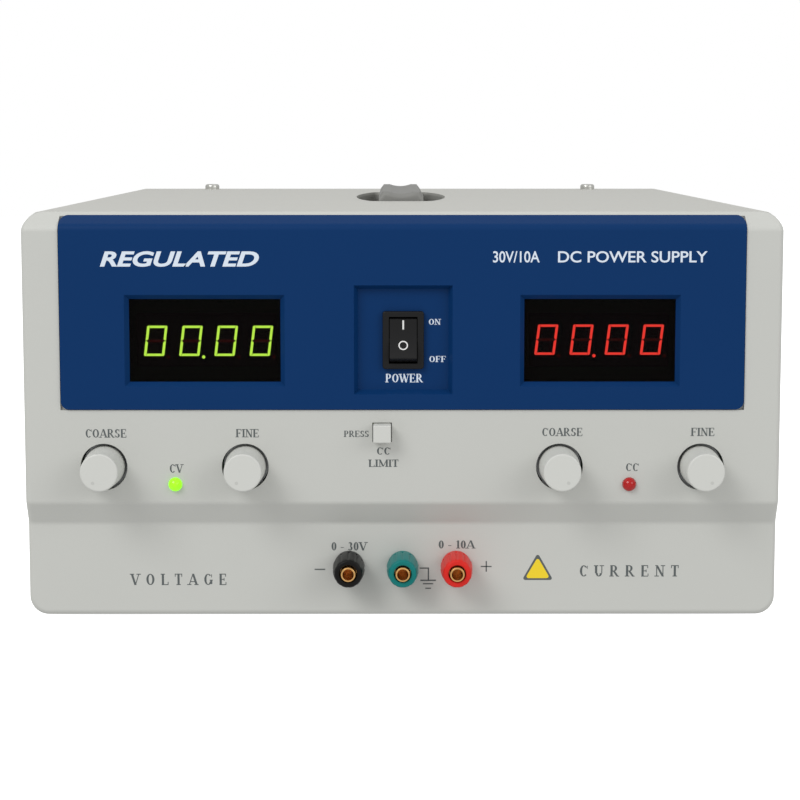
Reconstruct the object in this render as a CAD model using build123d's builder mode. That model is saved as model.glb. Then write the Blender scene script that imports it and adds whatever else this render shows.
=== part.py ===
"""Bench DC power supply: case, front panel, controls, output posts, handle and inner parts.

Row frame: +X right, front faces -Y, +Z up, origin under the feet at the middle of the box.
Heights written as h are counted from the underside of the front bezel, depths written as d
are counted backwards from the upper front face.
"""
import os
from math import cos, radians, sin, sqrt

from build123d import *

os.makedirs("parts", exist_ok=True)

# ---------------------------------------------------------------- driving dimensions
FACE_Y = -178.5          # upper front face
BASE_Z = 5.0             # underside of the bezel, the height the feet hold it at
BEZEL_W = 275.0
BEZEL_H = 148.4
BEZEL_CORNER = 7.0
LOW_STEP = 5.0           # the output section is set back by this much
STEP_LOW_H = 34.4
STEP_HIGH_H = 42.7
CHIN_H = 143.2           # where the face turns back towards the cover
CHIN_D = 8.5
LIP_D = 9.6              # rear of the visible bezel ring
WALL = 3.0
BEZEL_IN_W = 261.0
FLANGE_W = 266.4
FLANGE_D = 28.0

FASCIA_W = 247.6
FASCIA_LOW_H = 77.1
FASCIA_PROUD = 0.6
FASCIA_DEEP = 1.4

WINDOW_X = 71.5
WINDOW_H = 102.1

RECESS_X = 0.3
RECESS_H = 102.4
RECESS_D = 2.5
SWITCH_H = 102.2
ROCKER_R = 8.1
ROCKER_TILT = 10.0
ROCKER_W = 9.8
ROCKER_D = 2.9           # depth of the rocker's axis

KNOB_H = 56.0
KNOB_OUT_X = 108.6
KNOB_IN_X = 57.2
KNOB_R = 7.8
KNOB_OUT = 15.0
KNOB_HOLE_R = 8.55
SHAFT_R = 3.0
RUN_FIT = 0.05

BUTTON_X = -7.35
BUTTON_H = 68.7
BUTTON_W = 6.5
LED_X = 82.7
LED_H = 49.6
LED_R = 2.5

POST_X = (-19.6, 0.1, 19.8)
POST_H = 18.6
STUD_R = 2.6
SOCKET_R = 2.05
SOCKET_DEEP = 24.0
STUD_TIP_D = -13.0
CAP_BASE_R = 5.85

BOARD_D = 14.6
BOARD_T = 1.6

COVER_W = 272.0
COVER_D0 = 10.0
COVER_D1 = 361.0
SHEET = 1.2
BEND_R = 4.4
COVER_LOW_H = 3.0

PAN_W = 269.2
PAN_LOW_H = 0.8
PAN_SIDE_H = 28.0

REAR_D = 360.0           # outer face of the rear panel

TRAY_D = 213.25
TRAY_LONG = 148.5
TRAY_HALF_W = 20.0
TRAY_FLOOR_H = 123.4
HANDLE_LONG = 145.5
LEG_STEP = 60.0

FAN_X = 50.0
FAN_H = 85.0
FAN_SIZE = 80.0
FAN_PITCH = 71.5

INLET_X = -100.0
FUSE_X = -60.0
SELECT_X = -24.0
REAR_ROW_H = 36.0

FOOT_X = 105.0
FOOT_D = (45.0, 325.0)

CORE_X = -72.0
CORE_D = 262.0


def face_plane(depth):
    """Plane seen from the front: local x is +X, local y is the height h, normal is -Y."""
    origin = (0, FACE_Y + depth, BASE_Z)
    return Plane(origin=origin, x_dir=(1, 0, 0), z_dir=(0, -1, 0))


def floor_plane(height):
    """Plane seen from above: local x is +X, local y is the depth d, normal is +Z."""
    return Plane(origin=(0, FACE_Y, BASE_Z + height), x_dir=(1, 0, 0), z_dir=(0, 0, 1))


def side_plane():
    """Plane seen from the right: local x is the depth d, local y is the height h."""
    return Plane(origin=(0, FACE_Y, BASE_Z), x_dir=(0, 1, 0), z_dir=(1, 0, 0))


def save(part, label):
    """Label one sub-part and write its STEP file."""
    part.label = label
    export_step(part, f"parts/{label}.step")


def pan_screw(head_r, head_t, shank_r, shank_long):
    """Pan-head screw along +Z with a cross recess, head underside at z = 0."""
    with BuildPart() as screw:
        Cylinder(head_r, head_t, align=(Align.CENTER, Align.CENTER, Align.MIN))
        fillet(screw.edges().group_by(Axis.Z)[-1], head_t * 0.45)
        with Locations((0, 0, head_t)):
            Box(head_r * 1.1, head_r * 0.25, head_t * 0.9, mode=Mode.SUBTRACT)
            Box(head_r * 0.25, head_r * 1.1, head_t * 0.9, mode=Mode.SUBTRACT)
        Cylinder(shank_r, shank_long, align=(Align.CENTER, Align.CENTER, Align.MAX))
    return screw.part


def hull_profile(grow):
    """Points of the fascia's section, moved out from the bezel face by grow."""
    run = sqrt(CHIN_D**2 + (BEZEL_H - CHIN_H) ** 2)
    slope_d = CHIN_D / run
    slope_h = (BEZEL_H - CHIN_H) / run
    bend_h = CHIN_H + grow * (1 - slope_h) / slope_d
    reach = 6.9
    tip = (reach * slope_d - grow * slope_h, CHIN_H + reach * slope_h + grow * slope_d)
    return [(-grow, bend_h), tip]


# ---------------------------------------------------------------- front bezel
BOSSES = [(-124, 130), (0, 134), (124, 130), (-124, 74), (124, 74), (-34, 50), (34, 50)]

with BuildPart() as front_bezel:
    with BuildSketch(side_plane()) as bezel_side:
        with BuildLine():
            Polyline(
                (LOW_STEP, 0),
                (LOW_STEP, STEP_LOW_H),
                (0, STEP_HIGH_H),
                (0, CHIN_H),
                (CHIN_D, BEZEL_H),
                (LIP_D, BEZEL_H),
                (LIP_D, 0),
                close=True,
            )
        make_face()
        fillet(bezel_side.vertices().filter_by(lambda v: v.X < CHIN_D - 1 and v.Y > 1), 3.2)
    extrude(amount=BEZEL_W / 2, both=True)
    with BuildSketch(face_plane(-1)):
        with Locations((0, BEZEL_H / 2)):
            RectangleRounded(BEZEL_W, BEZEL_H, BEZEL_CORNER)
    extrude(amount=-LIP_D - 2, mode=Mode.INTERSECT)
    outline = front_bezel.edges().filter_by(lambda e: e.center().Y < FACE_Y + CHIN_D)
    outline = outline.filter_by(lambda e: abs(e.center().X) > 1 or e.center().Z < BASE_Z + 1)
    fillet(outline - outline.filter_by(Axis.Y), 2.2)
    # rear flange that the cover and the pan close on
    with BuildSketch(face_plane(LIP_D - 2)):
        with Locations((0, 74.6)):
            RectangleRounded(FLANGE_W, 144.8, 5.5)
    extrude(amount=-(FLANGE_D - LIP_D + 2))
    # inside
    with BuildSketch(side_plane()):
        with BuildLine():
            Polyline(
                (LOW_STEP + WALL, 4.7),
                (LOW_STEP + WALL, 35.2),
                (WALL, 43.5),
                (WALL, 141.8),
                (6.5, 144.5),
                (FLANGE_D + 1, 144.5),
                (FLANGE_D + 1, 4.7),
                close=True,
            )
        make_face()
    extrude(amount=BEZEL_IN_W / 2, both=True, mode=Mode.SUBTRACT)
    # seat of the coloured fascia
    with BuildSketch(side_plane()):
        with BuildLine():
            floor_pts = hull_profile(-FASCIA_DEEP)
            Polyline(
                (-2, FASCIA_LOW_H - 0.25),
                (FASCIA_DEEP, FASCIA_LOW_H - 0.25),
                floor_pts[0],
                (floor_pts[1][0] + 0.2, floor_pts[1][1] + 0.12),
                (4.7, 149.6),
                (-2, 149.6),
                close=True,
            )
        make_face()
    extrude(amount=FASCIA_W / 2 + 0.25, both=True, mode=Mode.SUBTRACT)
    # openings through the face
    with BuildSketch(face_plane(-3)):
        with Locations((-WINDOW_X, WINDOW_H), (WINDOW_X, WINDOW_H)):
            Rectangle(60.6, 36.0)
        with Locations((RECESS_X, RECESS_H)):
            Rectangle(38.4, 42.4)
        with Locations(
            (-KNOB_OUT_X, KNOB_H), (-KNOB_IN_X, KNOB_H), (KNOB_IN_X, KNOB_H), (KNOB_OUT_X, KNOB_H)
        ):
            Circle(KNOB_HOLE_R)
        with Locations((BUTTON_X, BUTTON_H)):
            Rectangle(7.1, 7.1)
        with Locations((-LED_X, LED_H), (LED_X, LED_H)):
            Circle(LED_R + 0.05)
        with Locations([(x, POST_H) for x in POST_X]):
            Circle(4.05)
    extrude(amount=-12, mode=Mode.SUBTRACT)
    # bosses for the front board
    with BuildSketch(face_plane(WALL - 1)):
        with Locations(BOSSES):
            Circle(3.6)
    extrude(amount=-(BOARD_D - WALL + 1))
    with BuildSketch(face_plane(BOARD_D)):
        with Locations(BOSSES):
            Circle(1.5)
    extrude(amount=8, mode=Mode.SUBTRACT)
save(front_bezel.part, "front_bezel")

# ---------------------------------------------------------------- coloured fascia
with BuildPart() as blue_fascia:
    outer = hull_profile(FASCIA_PROUD)
    inner = hull_profile(-FASCIA_DEEP)
    with BuildSketch(side_plane()) as fascia_side:
        with BuildLine():
            Polyline(
                (-FASCIA_PROUD, FASCIA_LOW_H),
                outer[0],
                outer[1],
                inner[1],
                inner[0],
                (FASCIA_DEEP, FASCIA_LOW_H),
                close=True,
            )
        make_face()
        fillet(fascia_side.vertices().filter_by(lambda v: v.X < 0 and v.Y > CHIN_H - 1), 3.2)
    extrude(amount=FASCIA_W / 2, both=True)
    with BuildSketch(face_plane(-2)):
        with Locations((0, (FASCIA_LOW_H + outer[1][1]) / 2)):
            RectangleRounded(FASCIA_W, outer[1][1] - FASCIA_LOW_H, 3.0)
    extrude(amount=-14, mode=Mode.INTERSECT)
    # dish of the power switch
    with BuildSketch(face_plane(FASCIA_DEEP - 0.4)):
        with Locations((RECESS_X, RECESS_H)):
            RectangleRounded(38.0, 42.0, 1.5)
    extrude(amount=-(RECESS_D + 1.6 - FASCIA_DEEP))
    with BuildSketch(face_plane(-FASCIA_PROUD)):
        with Locations((RECESS_X, RECESS_H)):
            Rectangle(35.7, 39.6)
    extrude(amount=-(RECESS_D + FASCIA_PROUD), taper=25.8, mode=Mode.SUBTRACT)
    with BuildSketch(face_plane(0)):
        with Locations((RECESS_X, SWITCH_H)):
            Rectangle(13.2, 19.2)
    extrude(amount=-10, mode=Mode.SUBTRACT)
    # bevelled display openings
    with BuildSketch(face_plane(-FASCIA_PROUD)):
        with Locations((-WINDOW_X, WINDOW_H), (WINDOW_X, WINDOW_H)):
            Rectangle(58.0, 33.3)
    extrude(amount=-(FASCIA_DEEP + FASCIA_PROUD), taper=39.2, mode=Mode.SUBTRACT)
save(blue_fascia.part, "blue_fascia")

# ---------------------------------------------------------------- windows and displays
for label, x in (("voltage", -WINDOW_X), ("current", WINDOW_X)):
    with BuildPart() as window:
        with BuildSketch(face_plane(FASCIA_DEEP)):
            with Locations((x, WINDOW_H)):
                Rectangle(60.0, 35.4)
        extrude(amount=-1.5)
    save(window.part, f"{label}_window")

    with BuildPart() as display:
        with BuildSketch(face_plane(6.0)):
            with Locations((x, WINDOW_H - 0.5)):
                Rectangle(51.0, 19.0)
        extrude(amount=-(BOARD_D - 6.0))
        chamfer(display.edges().group_by(Axis.Y)[0], 0.4)
        with BuildSketch(face_plane(6.0)):
            with Locations((x, WINDOW_H - 0.5)):
                with GridLocations(12.8, 1, 4, 1):
                    Rectangle(9.4, 12.6)
        extrude(amount=-0.3, mode=Mode.SUBTRACT)
    save(display.part, f"{label}_display")

# ---------------------------------------------------------------- front board
with BuildPart() as front_board:
    with BuildSketch(face_plane(BOARD_D)):
        with Locations((0, 92.0)):
            Rectangle(258.0, 102.0)
        with Locations((RECESS_X, SWITCH_H)):
            Rectangle(15.0, 21.0, mode=Mode.SUBTRACT)
        with Locations(BOSSES):
            Circle(1.6, mode=Mode.SUBTRACT)
    extrude(amount=-BOARD_T)
save(front_board.part, "front_board")

# ---------------------------------------------------------------- power switch
with BuildPart() as power_switch_body:
    with BuildSketch(face_plane(0.5)):
        with Locations((RECESS_X, SWITCH_H)):
            RectangleRounded(15.0, 21.0, 1.0)
    extrude(amount=-(RECESS_D - 0.5))
    fillet(power_switch_body.edges().group_by(Axis.Y)[0], 0.5)
    with BuildSketch(face_plane(RECESS_D)):
        with Locations((RECESS_X, SWITCH_H)):
            Rectangle(13.0, 19.0)
    extrude(amount=-20)
    with BuildSketch(face_plane(0)):
        with Locations((RECESS_X, SWITCH_H)):
            Rectangle(10.4, 17.0)
    extrude(amount=-8.6, mode=Mode.SUBTRACT)
    with Locations(Plane(origin=(RECESS_X, FACE_Y + ROCKER_D, BASE_Z + SWITCH_H), z_dir=(1, 0, 0))):
        Cylinder(1.26, 12.4, mode=Mode.SUBTRACT)
    with BuildSketch(face_plane(22.5)):
        with Locations((RECESS_X - 3, SWITCH_H + 5), (RECESS_X - 3, SWITCH_H - 5)):
            Rectangle(0.8, 4.8)
        with Locations((RECESS_X + 3, SWITCH_H + 5), (RECESS_X + 3, SWITCH_H - 5)):
            Rectangle(0.8, 4.8)
    extrude(amount=-8)
save(power_switch_body.part, "power_switch_body")


def arc_point(angle):
    """Point of the rocker's round end, angle counted from its forward direction."""
    return (-ROCKER_R * cos(radians(angle)), ROCKER_R * sin(radians(angle)))


tilt = radians(-ROCKER_TILT)
rocker_plane = Plane(
    origin=(RECESS_X, FACE_Y + ROCKER_D, BASE_Z + SWITCH_H),
    x_dir=(0, cos(tilt), sin(tilt)),
    z_dir=(1, 0, 0),
)
with BuildPart() as power_rocker:
    with BuildSketch(rocker_plane):
        with BuildLine():
            Line(arc_point(62), (-2.4, 0))
            Line((-2.4, 0), arc_point(-62))
            ThreePointArc(arc_point(-62), arc_point(-81), arc_point(-100))
            Line(arc_point(-100), arc_point(100))
            ThreePointArc(arc_point(100), arc_point(81), arc_point(62))
        make_face()
    extrude(amount=ROCKER_W / 2, both=True)
    rocker_front = power_rocker.edges().filter_by(Axis.X).group_by(Axis.Y)[0]
    fillet(rocker_front, 0.5)
    with Locations(rocker_plane):
        Cylinder(1.2, 12.0)
save(power_rocker.part, "power_rocker")

# ---------------------------------------------------------------- knobs, shafts, potentiometers
KNOBS = {
    "voltage_coarse": (-KNOB_OUT_X, 211.0),
    "voltage_fine": (-KNOB_IN_X, 211.0),
    "current_coarse": (KNOB_IN_X, 149.0),
    "current_fine": (KNOB_OUT_X, 149.0),
}


def knob_plane(x, depth):
    """Front plane centred on one knob's axis."""
    origin = (x, FACE_Y + depth, BASE_Z + KNOB_H)
    return Plane(origin=origin, x_dir=(1, 0, 0), z_dir=(0, -1, 0))


for label, (x, dot_angle) in KNOBS.items():
    with BuildPart() as knob:
        with BuildSketch(knob_plane(x, 2.4)):
            Circle(KNOB_R)
        extrude(amount=2.4)
        with BuildSketch(knob_plane(x, 0)):
            Circle(KNOB_R)
        extrude(amount=KNOB_OUT, taper=3.81)
        fillet(knob.edges().group_by(Axis.Y)[0], 0.9)
        # dished front and its index dot
        with BuildSketch(knob_plane(x, -KNOB_OUT)):
            Circle(5.3)
        extrude(amount=-0.35, taper=30, mode=Mode.SUBTRACT)
        dot_x = 4.3 * sin(radians(dot_angle))
        dot_h = 4.3 * cos(radians(dot_angle))
        with BuildSketch(knob_plane(x, -KNOB_OUT)):
            with Locations((dot_x, dot_h)):
                Circle(0.65)
        extrude(amount=-0.9, mode=Mode.SUBTRACT)
        # hollow back with a hub
        with BuildSketch(knob_plane(x, 2.4)):
            Circle(5.6)
            Circle(4.2, mode=Mode.SUBTRACT)
        extrude(amount=13.0, mode=Mode.SUBTRACT)
        with BuildSketch(knob_plane(x, 2.4)):
            Circle(SHAFT_R)
            with Locations((0, 3.0)):
                Rectangle(7.0, 3.0, mode=Mode.SUBTRACT)
        extrude(amount=11.4, mode=Mode.SUBTRACT)
    save(knob.part, f"{label}_knob")

    with BuildPart() as shaft:
        with BuildSketch(knob_plane(x, 12.0)):
            Circle(SHAFT_R)
        extrude(amount=9.6)
        with BuildSketch(knob_plane(x, 2.4)):
            Circle(SHAFT_R)
            with Locations((0, 3.0)):
                Rectangle(7.0, 3.0, mode=Mode.SUBTRACT)
        extrude(amount=11.2)
    save(shaft.part, f"{label}_shaft")

with BuildPart() as potentiometers:
    for label, (x, dot_angle) in KNOBS.items():
        with BuildSketch(knob_plane(x, 6.0)):
            Circle(8.25)
            with Locations((0, -6.0)):
                Rectangle(12.0, 9.0)
        extrude(amount=-(BOARD_D - 6.0))
        with BuildSketch(knob_plane(x, 3.6)):
            Circle(3.9)
        extrude(amount=-2.4)
        with BuildSketch(knob_plane(x, 3.0)):
            Circle(SHAFT_R + RUN_FIT)
        extrude(amount=-9.3, mode=Mode.SUBTRACT)
save(potentiometers.part, "potentiometers")

# ---------------------------------------------------------------- limit push button
with BuildPart() as limit_button:
    with BuildSketch(face_plane(3.4)):
        with Locations((BUTTON_X, BUTTON_H)):
            RectangleRounded(BUTTON_W, BUTTON_W, 0.5)
    extrude(amount=9.4)
    fillet(limit_button.edges().group_by(Axis.Y)[0], 0.5)
    with BuildSketch(face_plane(3.4)):
        with Locations((BUTTON_X, BUTTON_H)):
            Rectangle(8.6, 8.6)
    extrude(amount=-1.0)
    with BuildSketch(face_plane(4.4)):
        with Locations((BUTTON_X, BUTTON_H)):
            Rectangle(3.0, 3.0)
    extrude(amount=-6.4)
save(limit_button.part, "limit_button")

with BuildPart() as limit_switch:
    with BuildSketch(face_plane(8.6)):
        with Locations((BUTTON_X, BUTTON_H)):
            Rectangle(10.0, 10.0)
            Rectangle(3.7, 3.7, mode=Mode.SUBTRACT)
    extrude(amount=-(BOARD_D - 8.6))
save(limit_switch.part, "limit_switch")

# ---------------------------------------------------------------- indicator lamps
for label, x in (("cv", -LED_X), ("cc", LED_X)):
    with BuildPart() as led:
        with BuildSketch(face_plane(5.0)):
            with Locations((x, LED_H)):
                Circle(LED_R)
        extrude(amount=5.0)
        with Locations((x, FACE_Y, BASE_Z + LED_H)):
            Sphere(LED_R)
        with BuildSketch(face_plane(4.0)):
            with Locations((x, LED_H)):
                Circle(2.95)
        extrude(amount=-1.0)
        with BuildSketch(face_plane(5.0)):
            with Locations((x - 1.27, LED_H), (x + 1.27, LED_H)):
                Rectangle(0.5, 0.5)
        extrude(amount=-(BOARD_D - 5.0))
    save(led.part, f"{label}_led")

# ---------------------------------------------------------------- output posts
for label, x in zip(("negative", "ground", "positive"), POST_X):
    with BuildPart() as cap:
        with BuildSketch(face_plane(2.2)) as cap_base:
            with Locations((x, POST_H)):
                Circle(CAP_BASE_R)
                with PolarLocations(CAP_BASE_R + 0.45, 12):
                    Circle(0.95, mode=Mode.SUBTRACT)
        extrude(amount=13.9, taper=2.2)
        with BuildSketch(face_plane(2.2)):
            with Locations((x, POST_H)):
                Circle(3.8)
        extrude(amount=7.0, mode=Mode.SUBTRACT)
        with BuildSketch(face_plane(2.2)):
            with Locations((x, POST_H)):
                Circle(3.0)
        extrude(amount=16.0, mode=Mode.SUBTRACT)
        with BuildSketch(face_plane(-11.7)):
            with Locations((x, POST_H)):
                Circle(3.75)
        extrude(amount=-2.2, mode=Mode.SUBTRACT)
    save(cap.part, f"{label}_cap")

    with BuildPart() as insert:
        with BuildSketch(face_plane(1.9)):
            with Locations((x, POST_H)):
                Circle(3.8 - RUN_FIT)
                Circle(STUD_R + RUN_FIT, mode=Mode.SUBTRACT)
        extrude(amount=6.4)
    save(insert.part, f"{label}_insert")

    with BuildPart() as collar:
        with BuildSketch(face_plane(2.5)):
            with Locations((x, POST_H)):
                Circle(5.5)
        extrude(amount=-2.5)
        fillet(collar.edges().group_by(Axis.Y)[0], 0.5)
        with BuildSketch(face_plane(5.0)):
            with Locations((x, POST_H)):
                Circle(4.0)
        extrude(amount=-3.0)
        with BuildSketch(face_plane(2.5)):
            with Locations((x, POST_H)):
                Circle(STUD_R)
        extrude(amount=-5.5, mode=Mode.SUBTRACT)
    save(collar.part, f"{label}_collar")

with BuildPart() as post_studs:
    with BuildSketch(face_plane(STUD_TIP_D)):
        with Locations([(x, POST_H) for x in POST_X]):
            Circle(STUD_R)
    extrude(amount=-43.0)
    chamfer(post_studs.edges().group_by(Axis.Y)[0], 0.25)
    with BuildSketch(face_plane(STUD_TIP_D)):
        with Locations([(x, POST_H) for x in POST_X]):
            Circle(SOCKET_R)
    extrude(amount=-SOCKET_DEEP, mode=Mode.SUBTRACT)
save(post_studs.part, "post_studs")

with BuildPart() as post_nuts:
    for depth in (8.0, 13.0):
        with BuildSketch(face_plane(depth)):
            for x in POST_X:
                with Locations((x, POST_H)):
                    RegularPolygon(4.6, 6)
                    Circle(STUD_R, mode=Mode.SUBTRACT)
        extrude(amount=-3.0)
    with BuildSketch(face_plane(12.0)):
        for x in POST_X:
            with Locations((x, POST_H - 5.0)):
                Rectangle(5.0, 12.0)
            with Locations((x, POST_H)):
                Circle(4.4)
                Circle(STUD_R, mode=Mode.SUBTRACT)
    extrude(amount=-0.9)
save(post_nuts.part, "post_nuts")

# ---------------------------------------------------------------- top cover
VENT_D = [60 + 9.5 * i for i in range(26)]
VENT_H = (52.0, 96.0)
TOP_SCREWS = [(-96.5, 349.0), (96.5, 349.0)]
SIDE_SCREWS = [(50.0, 15.0), (325.0, 15.0)]


def tray_outline(grow):
    """Pocket outline on the current sketch: an ellipse with its ends cut square."""
    with Locations((0, TRAY_D)):
        Ellipse(TRAY_HALF_W + grow, 95.0 + grow)
        Rectangle(2 * TRAY_HALF_W + 30, TRAY_LONG + 2 * grow, mode=Mode.INTERSECT)


with BuildPart() as top_cover:
    with BuildSketch(face_plane(COVER_D0)) as cover_section:
        with Locations((0, COVER_LOW_H)):
            Rectangle(COVER_W, BEZEL_H - COVER_LOW_H, align=(Align.CENTER, Align.MIN))
        fillet(cover_section.vertices().group_by(Axis.Z)[-1], BEND_R)
    extrude(amount=-(COVER_D1 - COVER_D0))
    with BuildSketch(face_plane(COVER_D0 - 1)) as cover_hollow:
        Rectangle(
            COVER_W - 2 * SHEET, BEZEL_H - SHEET, align=(Align.CENTER, Align.MIN)
        )
        fillet(cover_hollow.vertices().group_by(Axis.Z)[-1], BEND_R - SHEET)
    extrude(amount=-(COVER_D1 - COVER_D0 + 2), mode=Mode.SUBTRACT)
    with BuildSketch(floor_plane(BEZEL_H - 4)) as pocket_mouth:
        tray_outline(0)
        fillet(pocket_mouth.vertices(), 3.0)
        with Locations(TOP_SCREWS):
            Circle(2.1)
    extrude(amount=8, mode=Mode.SUBTRACT)
    with BuildSketch(side_plane()):
        with Locations([(d, h) for d in VENT_D for h in VENT_H]):
            SlotOverall(30.0, 3.2, rotation=90)
        with Locations(SIDE_SCREWS):
            Circle(2.1)
    extrude(amount=140, both=True, mode=Mode.SUBTRACT)
save(top_cover.part, "top_cover")

# ---------------------------------------------------------------- chassis pan
FEET = [(x, d) for x in (-FOOT_X, FOOT_X) for d in FOOT_D]
STANDOFFS = [(x, d) for x in (-52.0, 52.0) for d in (68.0, 182.0)]

with BuildPart() as chassis_pan:
    with BuildSketch(face_plane(COVER_D0)):
        with Locations((0, PAN_LOW_H)):
            Rectangle(PAN_W, PAN_SIDE_H - PAN_LOW_H, align=(Align.CENTER, Align.MIN))
        with Locations((0, PAN_LOW_H + SHEET)):
            Rectangle(
                PAN_W - 2 * SHEET,
                PAN_SIDE_H,
                align=(Align.CENTER, Align.MIN),
                mode=Mode.SUBTRACT,
            )
    extrude(amount=-348.3)
    with BuildSketch(floor_plane(0)):
        with Locations(FEET):
            Circle(2.1)
        with Locations([(x, d) for x in (-30, -18, -6, 6, 18, 30) for d in (210, 250, 290)]):
            SlotOverall(24.0, 4.0, rotation=90)
    extrude(amount=4, mode=Mode.SUBTRACT)
    with BuildSketch(side_plane()):
        with Locations(SIDE_SCREWS):
            Circle(2.1)
    extrude(amount=140, both=True, mode=Mode.SUBTRACT)
save(chassis_pan.part, "chassis_pan")

# ---------------------------------------------------------------- rear panel
with BuildPart() as rear_panel:
    with BuildSketch(face_plane(REAR_D - SHEET)):
        with Locations((0, 74.6)):
            RectangleRounded(268.8, 144.8, 3.6)
        with Locations((FAN_X, FAN_H)):
            Circle(38.0, mode=Mode.SUBTRACT)
            with GridLocations(FAN_PITCH, FAN_PITCH, 2, 2):
                Circle(2.2, mode=Mode.SUBTRACT)
        with Locations((INLET_X, REAR_ROW_H)):
            Rectangle(27.6, 20.4, mode=Mode.SUBTRACT)
            with GridLocations(40.0, 1, 2, 1):
                Circle(1.5, mode=Mode.SUBTRACT)
        with Locations((FUSE_X, REAR_ROW_H)):
            Circle(6.3, mode=Mode.SUBTRACT)
        with Locations((SELECT_X, REAR_ROW_H)):
            Rectangle(18.4, 9.4, mode=Mode.SUBTRACT)
            with GridLocations(23.0, 1, 2, 1):
                Circle(1.5, mode=Mode.SUBTRACT)
        with Locations([(-122 + 9.0 * i, 102) for i in range(11)]):
            SlotOverall(46.0, 4.0, rotation=90, mode=Mode.SUBTRACT)
    extrude(amount=-SHEET)
    with BuildSketch(floor_plane(BEZEL_H - 2.6)):
        with Locations((0, REAR_D - SHEET)):
            Rectangle(250.0, 20.0, align=(Align.CENTER, Align.MAX))
        with Locations(TOP_SCREWS):
            Circle(2.0, mode=Mode.SUBTRACT)
    extrude(amount=SHEET)
save(rear_panel.part, "rear_panel")

# ---------------------------------------------------------------- handle tray and handle
LEG_D = (TRAY_D - LEG_STEP, TRAY_D + LEG_STEP)

with BuildPart() as handle_tray:
    with BuildSketch(floor_plane(TRAY_FLOOR_H - 2)) as tray_shell:
        tray_outline(2)
        fillet(tray_shell.vertices(), 4.0)
    extrude(amount=BEZEL_H - SHEET - TRAY_FLOOR_H + 2)
    with BuildSketch(floor_plane(BEZEL_H - SHEET - 2)) as tray_flange:
        tray_outline(8)
        fillet(tray_flange.vertices(), 6.0)
    extrude(amount=2)
    with BuildSketch(floor_plane(TRAY_FLOOR_H)) as tray_hollow:
        tray_outline(0)
        fillet(tray_hollow.vertices(), 3.0)
    extrude(amount=30, mode=Mode.SUBTRACT)
    with BuildSketch(floor_plane(TRAY_FLOOR_H - 6)):
        with Locations([(0, d) for d in LEG_D]):
            Rectangle(14.8, 8.8)
    extrude(amount=10, mode=Mode.SUBTRACT)
save(handle_tray.part, "handle_tray")

with BuildPart() as carry_handle:
    with BuildSketch(Plane(origin=(0, FACE_Y + TRAY_D, BASE_Z), x_dir=(1, 0, 0), z_dir=(0, -1, 0))):
        with BuildLine():
            Polyline(
                (-8.6, 143.0),
                (-9.4, 144.4),
                (-9.4, 150.4),
                (-7.9, 152.4),
                (-5.0, 152.4),
            )
            ThreePointArc((-5.0, 152.4), (0, 151.5), (5.0, 152.4))
            Polyline(
                (5.0, 152.4),
                (7.9, 152.4),
                (9.4, 150.4),
                (9.4, 144.4),
                (8.6, 143.0),
                (-8.6, 143.0),
            )
        make_face()
    extrude(amount=HANDLE_LONG / 2, both=True)
    ends = carry_handle.faces().filter_by(Axis.Y)
    end_tops = ends.edges().filter_by(lambda e: e.center().Z > BASE_Z + 150.5)
    fillet(end_tops, 2.2)
    with BuildSketch(floor_plane(143.4)):
        with Locations([(0, d) for d in LEG_D]):
            RectangleRounded(14.0, 8.0, 1.0)
    extrude(amount=-37.0)
    with BuildSketch(floor_plane(106.4)):
        with Locations([(0, d) for d in LEG_D]):
            Rectangle(18.0, 12.0)
    extrude(amount=-2.4)
save(carry_handle.part, "carry_handle")

# ---------------------------------------------------------------- transformer
with BuildPart() as transformer_core:
    with BuildSketch(face_plane(CORE_D - 26)):
        with Locations((CORE_X, 52.0)):
            Rectangle(104.0, 88.0)
            with GridLocations(52.0, 1, 2, 1):
                Rectangle(20.0, 54.0, mode=Mode.SUBTRACT)
    extrude(amount=-52)
save(transformer_core.part, "transformer_core")

with BuildPart() as transformer_winding:
    with BuildSketch(face_plane(CORE_D - 42)):
        with Locations((CORE_X, 52.0)):
            RectangleRounded(71.6, 53.6, 4.0)
    extrude(amount=-84)
    with BuildSketch(face_plane(CORE_D - 26)):
        with Locations((CORE_X, 52.0)):
            Rectangle(32.0, 90.0)
            Rectangle(140.0, 53.6)
            Rectangle(71.6, 53.6, mode=Mode.SUBTRACT)
            with GridLocations(1, 88.0, 1, 2):
                Rectangle(32.0, 20.0, mode=Mode.SUBTRACT)
    extrude(amount=-52, mode=Mode.SUBTRACT)
    with BuildSketch(face_plane(CORE_D - 26)):
        with Locations((CORE_X, 52.0)):
            Rectangle(32.0, 60.0)
    extrude(amount=-52, mode=Mode.SUBTRACT)
save(transformer_winding.part, "transformer_winding")

with BuildPart() as transformer_bracket:
    for side in (-1, 1):
        depth = CORE_D + side * 26.0
        with BuildSketch(face_plane(depth)):
            for foot_x in (-44.0, 44.0):
                with Locations((CORE_X + foot_x, 52.0)):
                    Rectangle(16.0, 88.0)
        extrude(amount=-side * 2.0)
        with BuildSketch(floor_plane(2.0)):
            for foot_x in (-44.0, 44.0):
                with Locations((CORE_X + foot_x, depth + side * 9.0)):
                    Rectangle(16.0, 18.0)
        extrude(amount=6.0)
save(transformer_bracket.part, "transformer_bracket")

# ---------------------------------------------------------------- main board and what it carries
with BuildPart() as standoffs:
    with BuildSketch(floor_plane(2.0)):
        with Locations(STANDOFFS):
            RegularPolygon(3.5, 6)
    extrude(amount=8.0)
save(standoffs.part, "standoffs")

with BuildPart() as main_board:
    with BuildSketch(floor_plane(10.0)):
        with Locations((0, 125.0)):
            Rectangle(120.0, 130.0)
    extrude(amount=BOARD_T)
save(main_board.part, "main_board")

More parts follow.
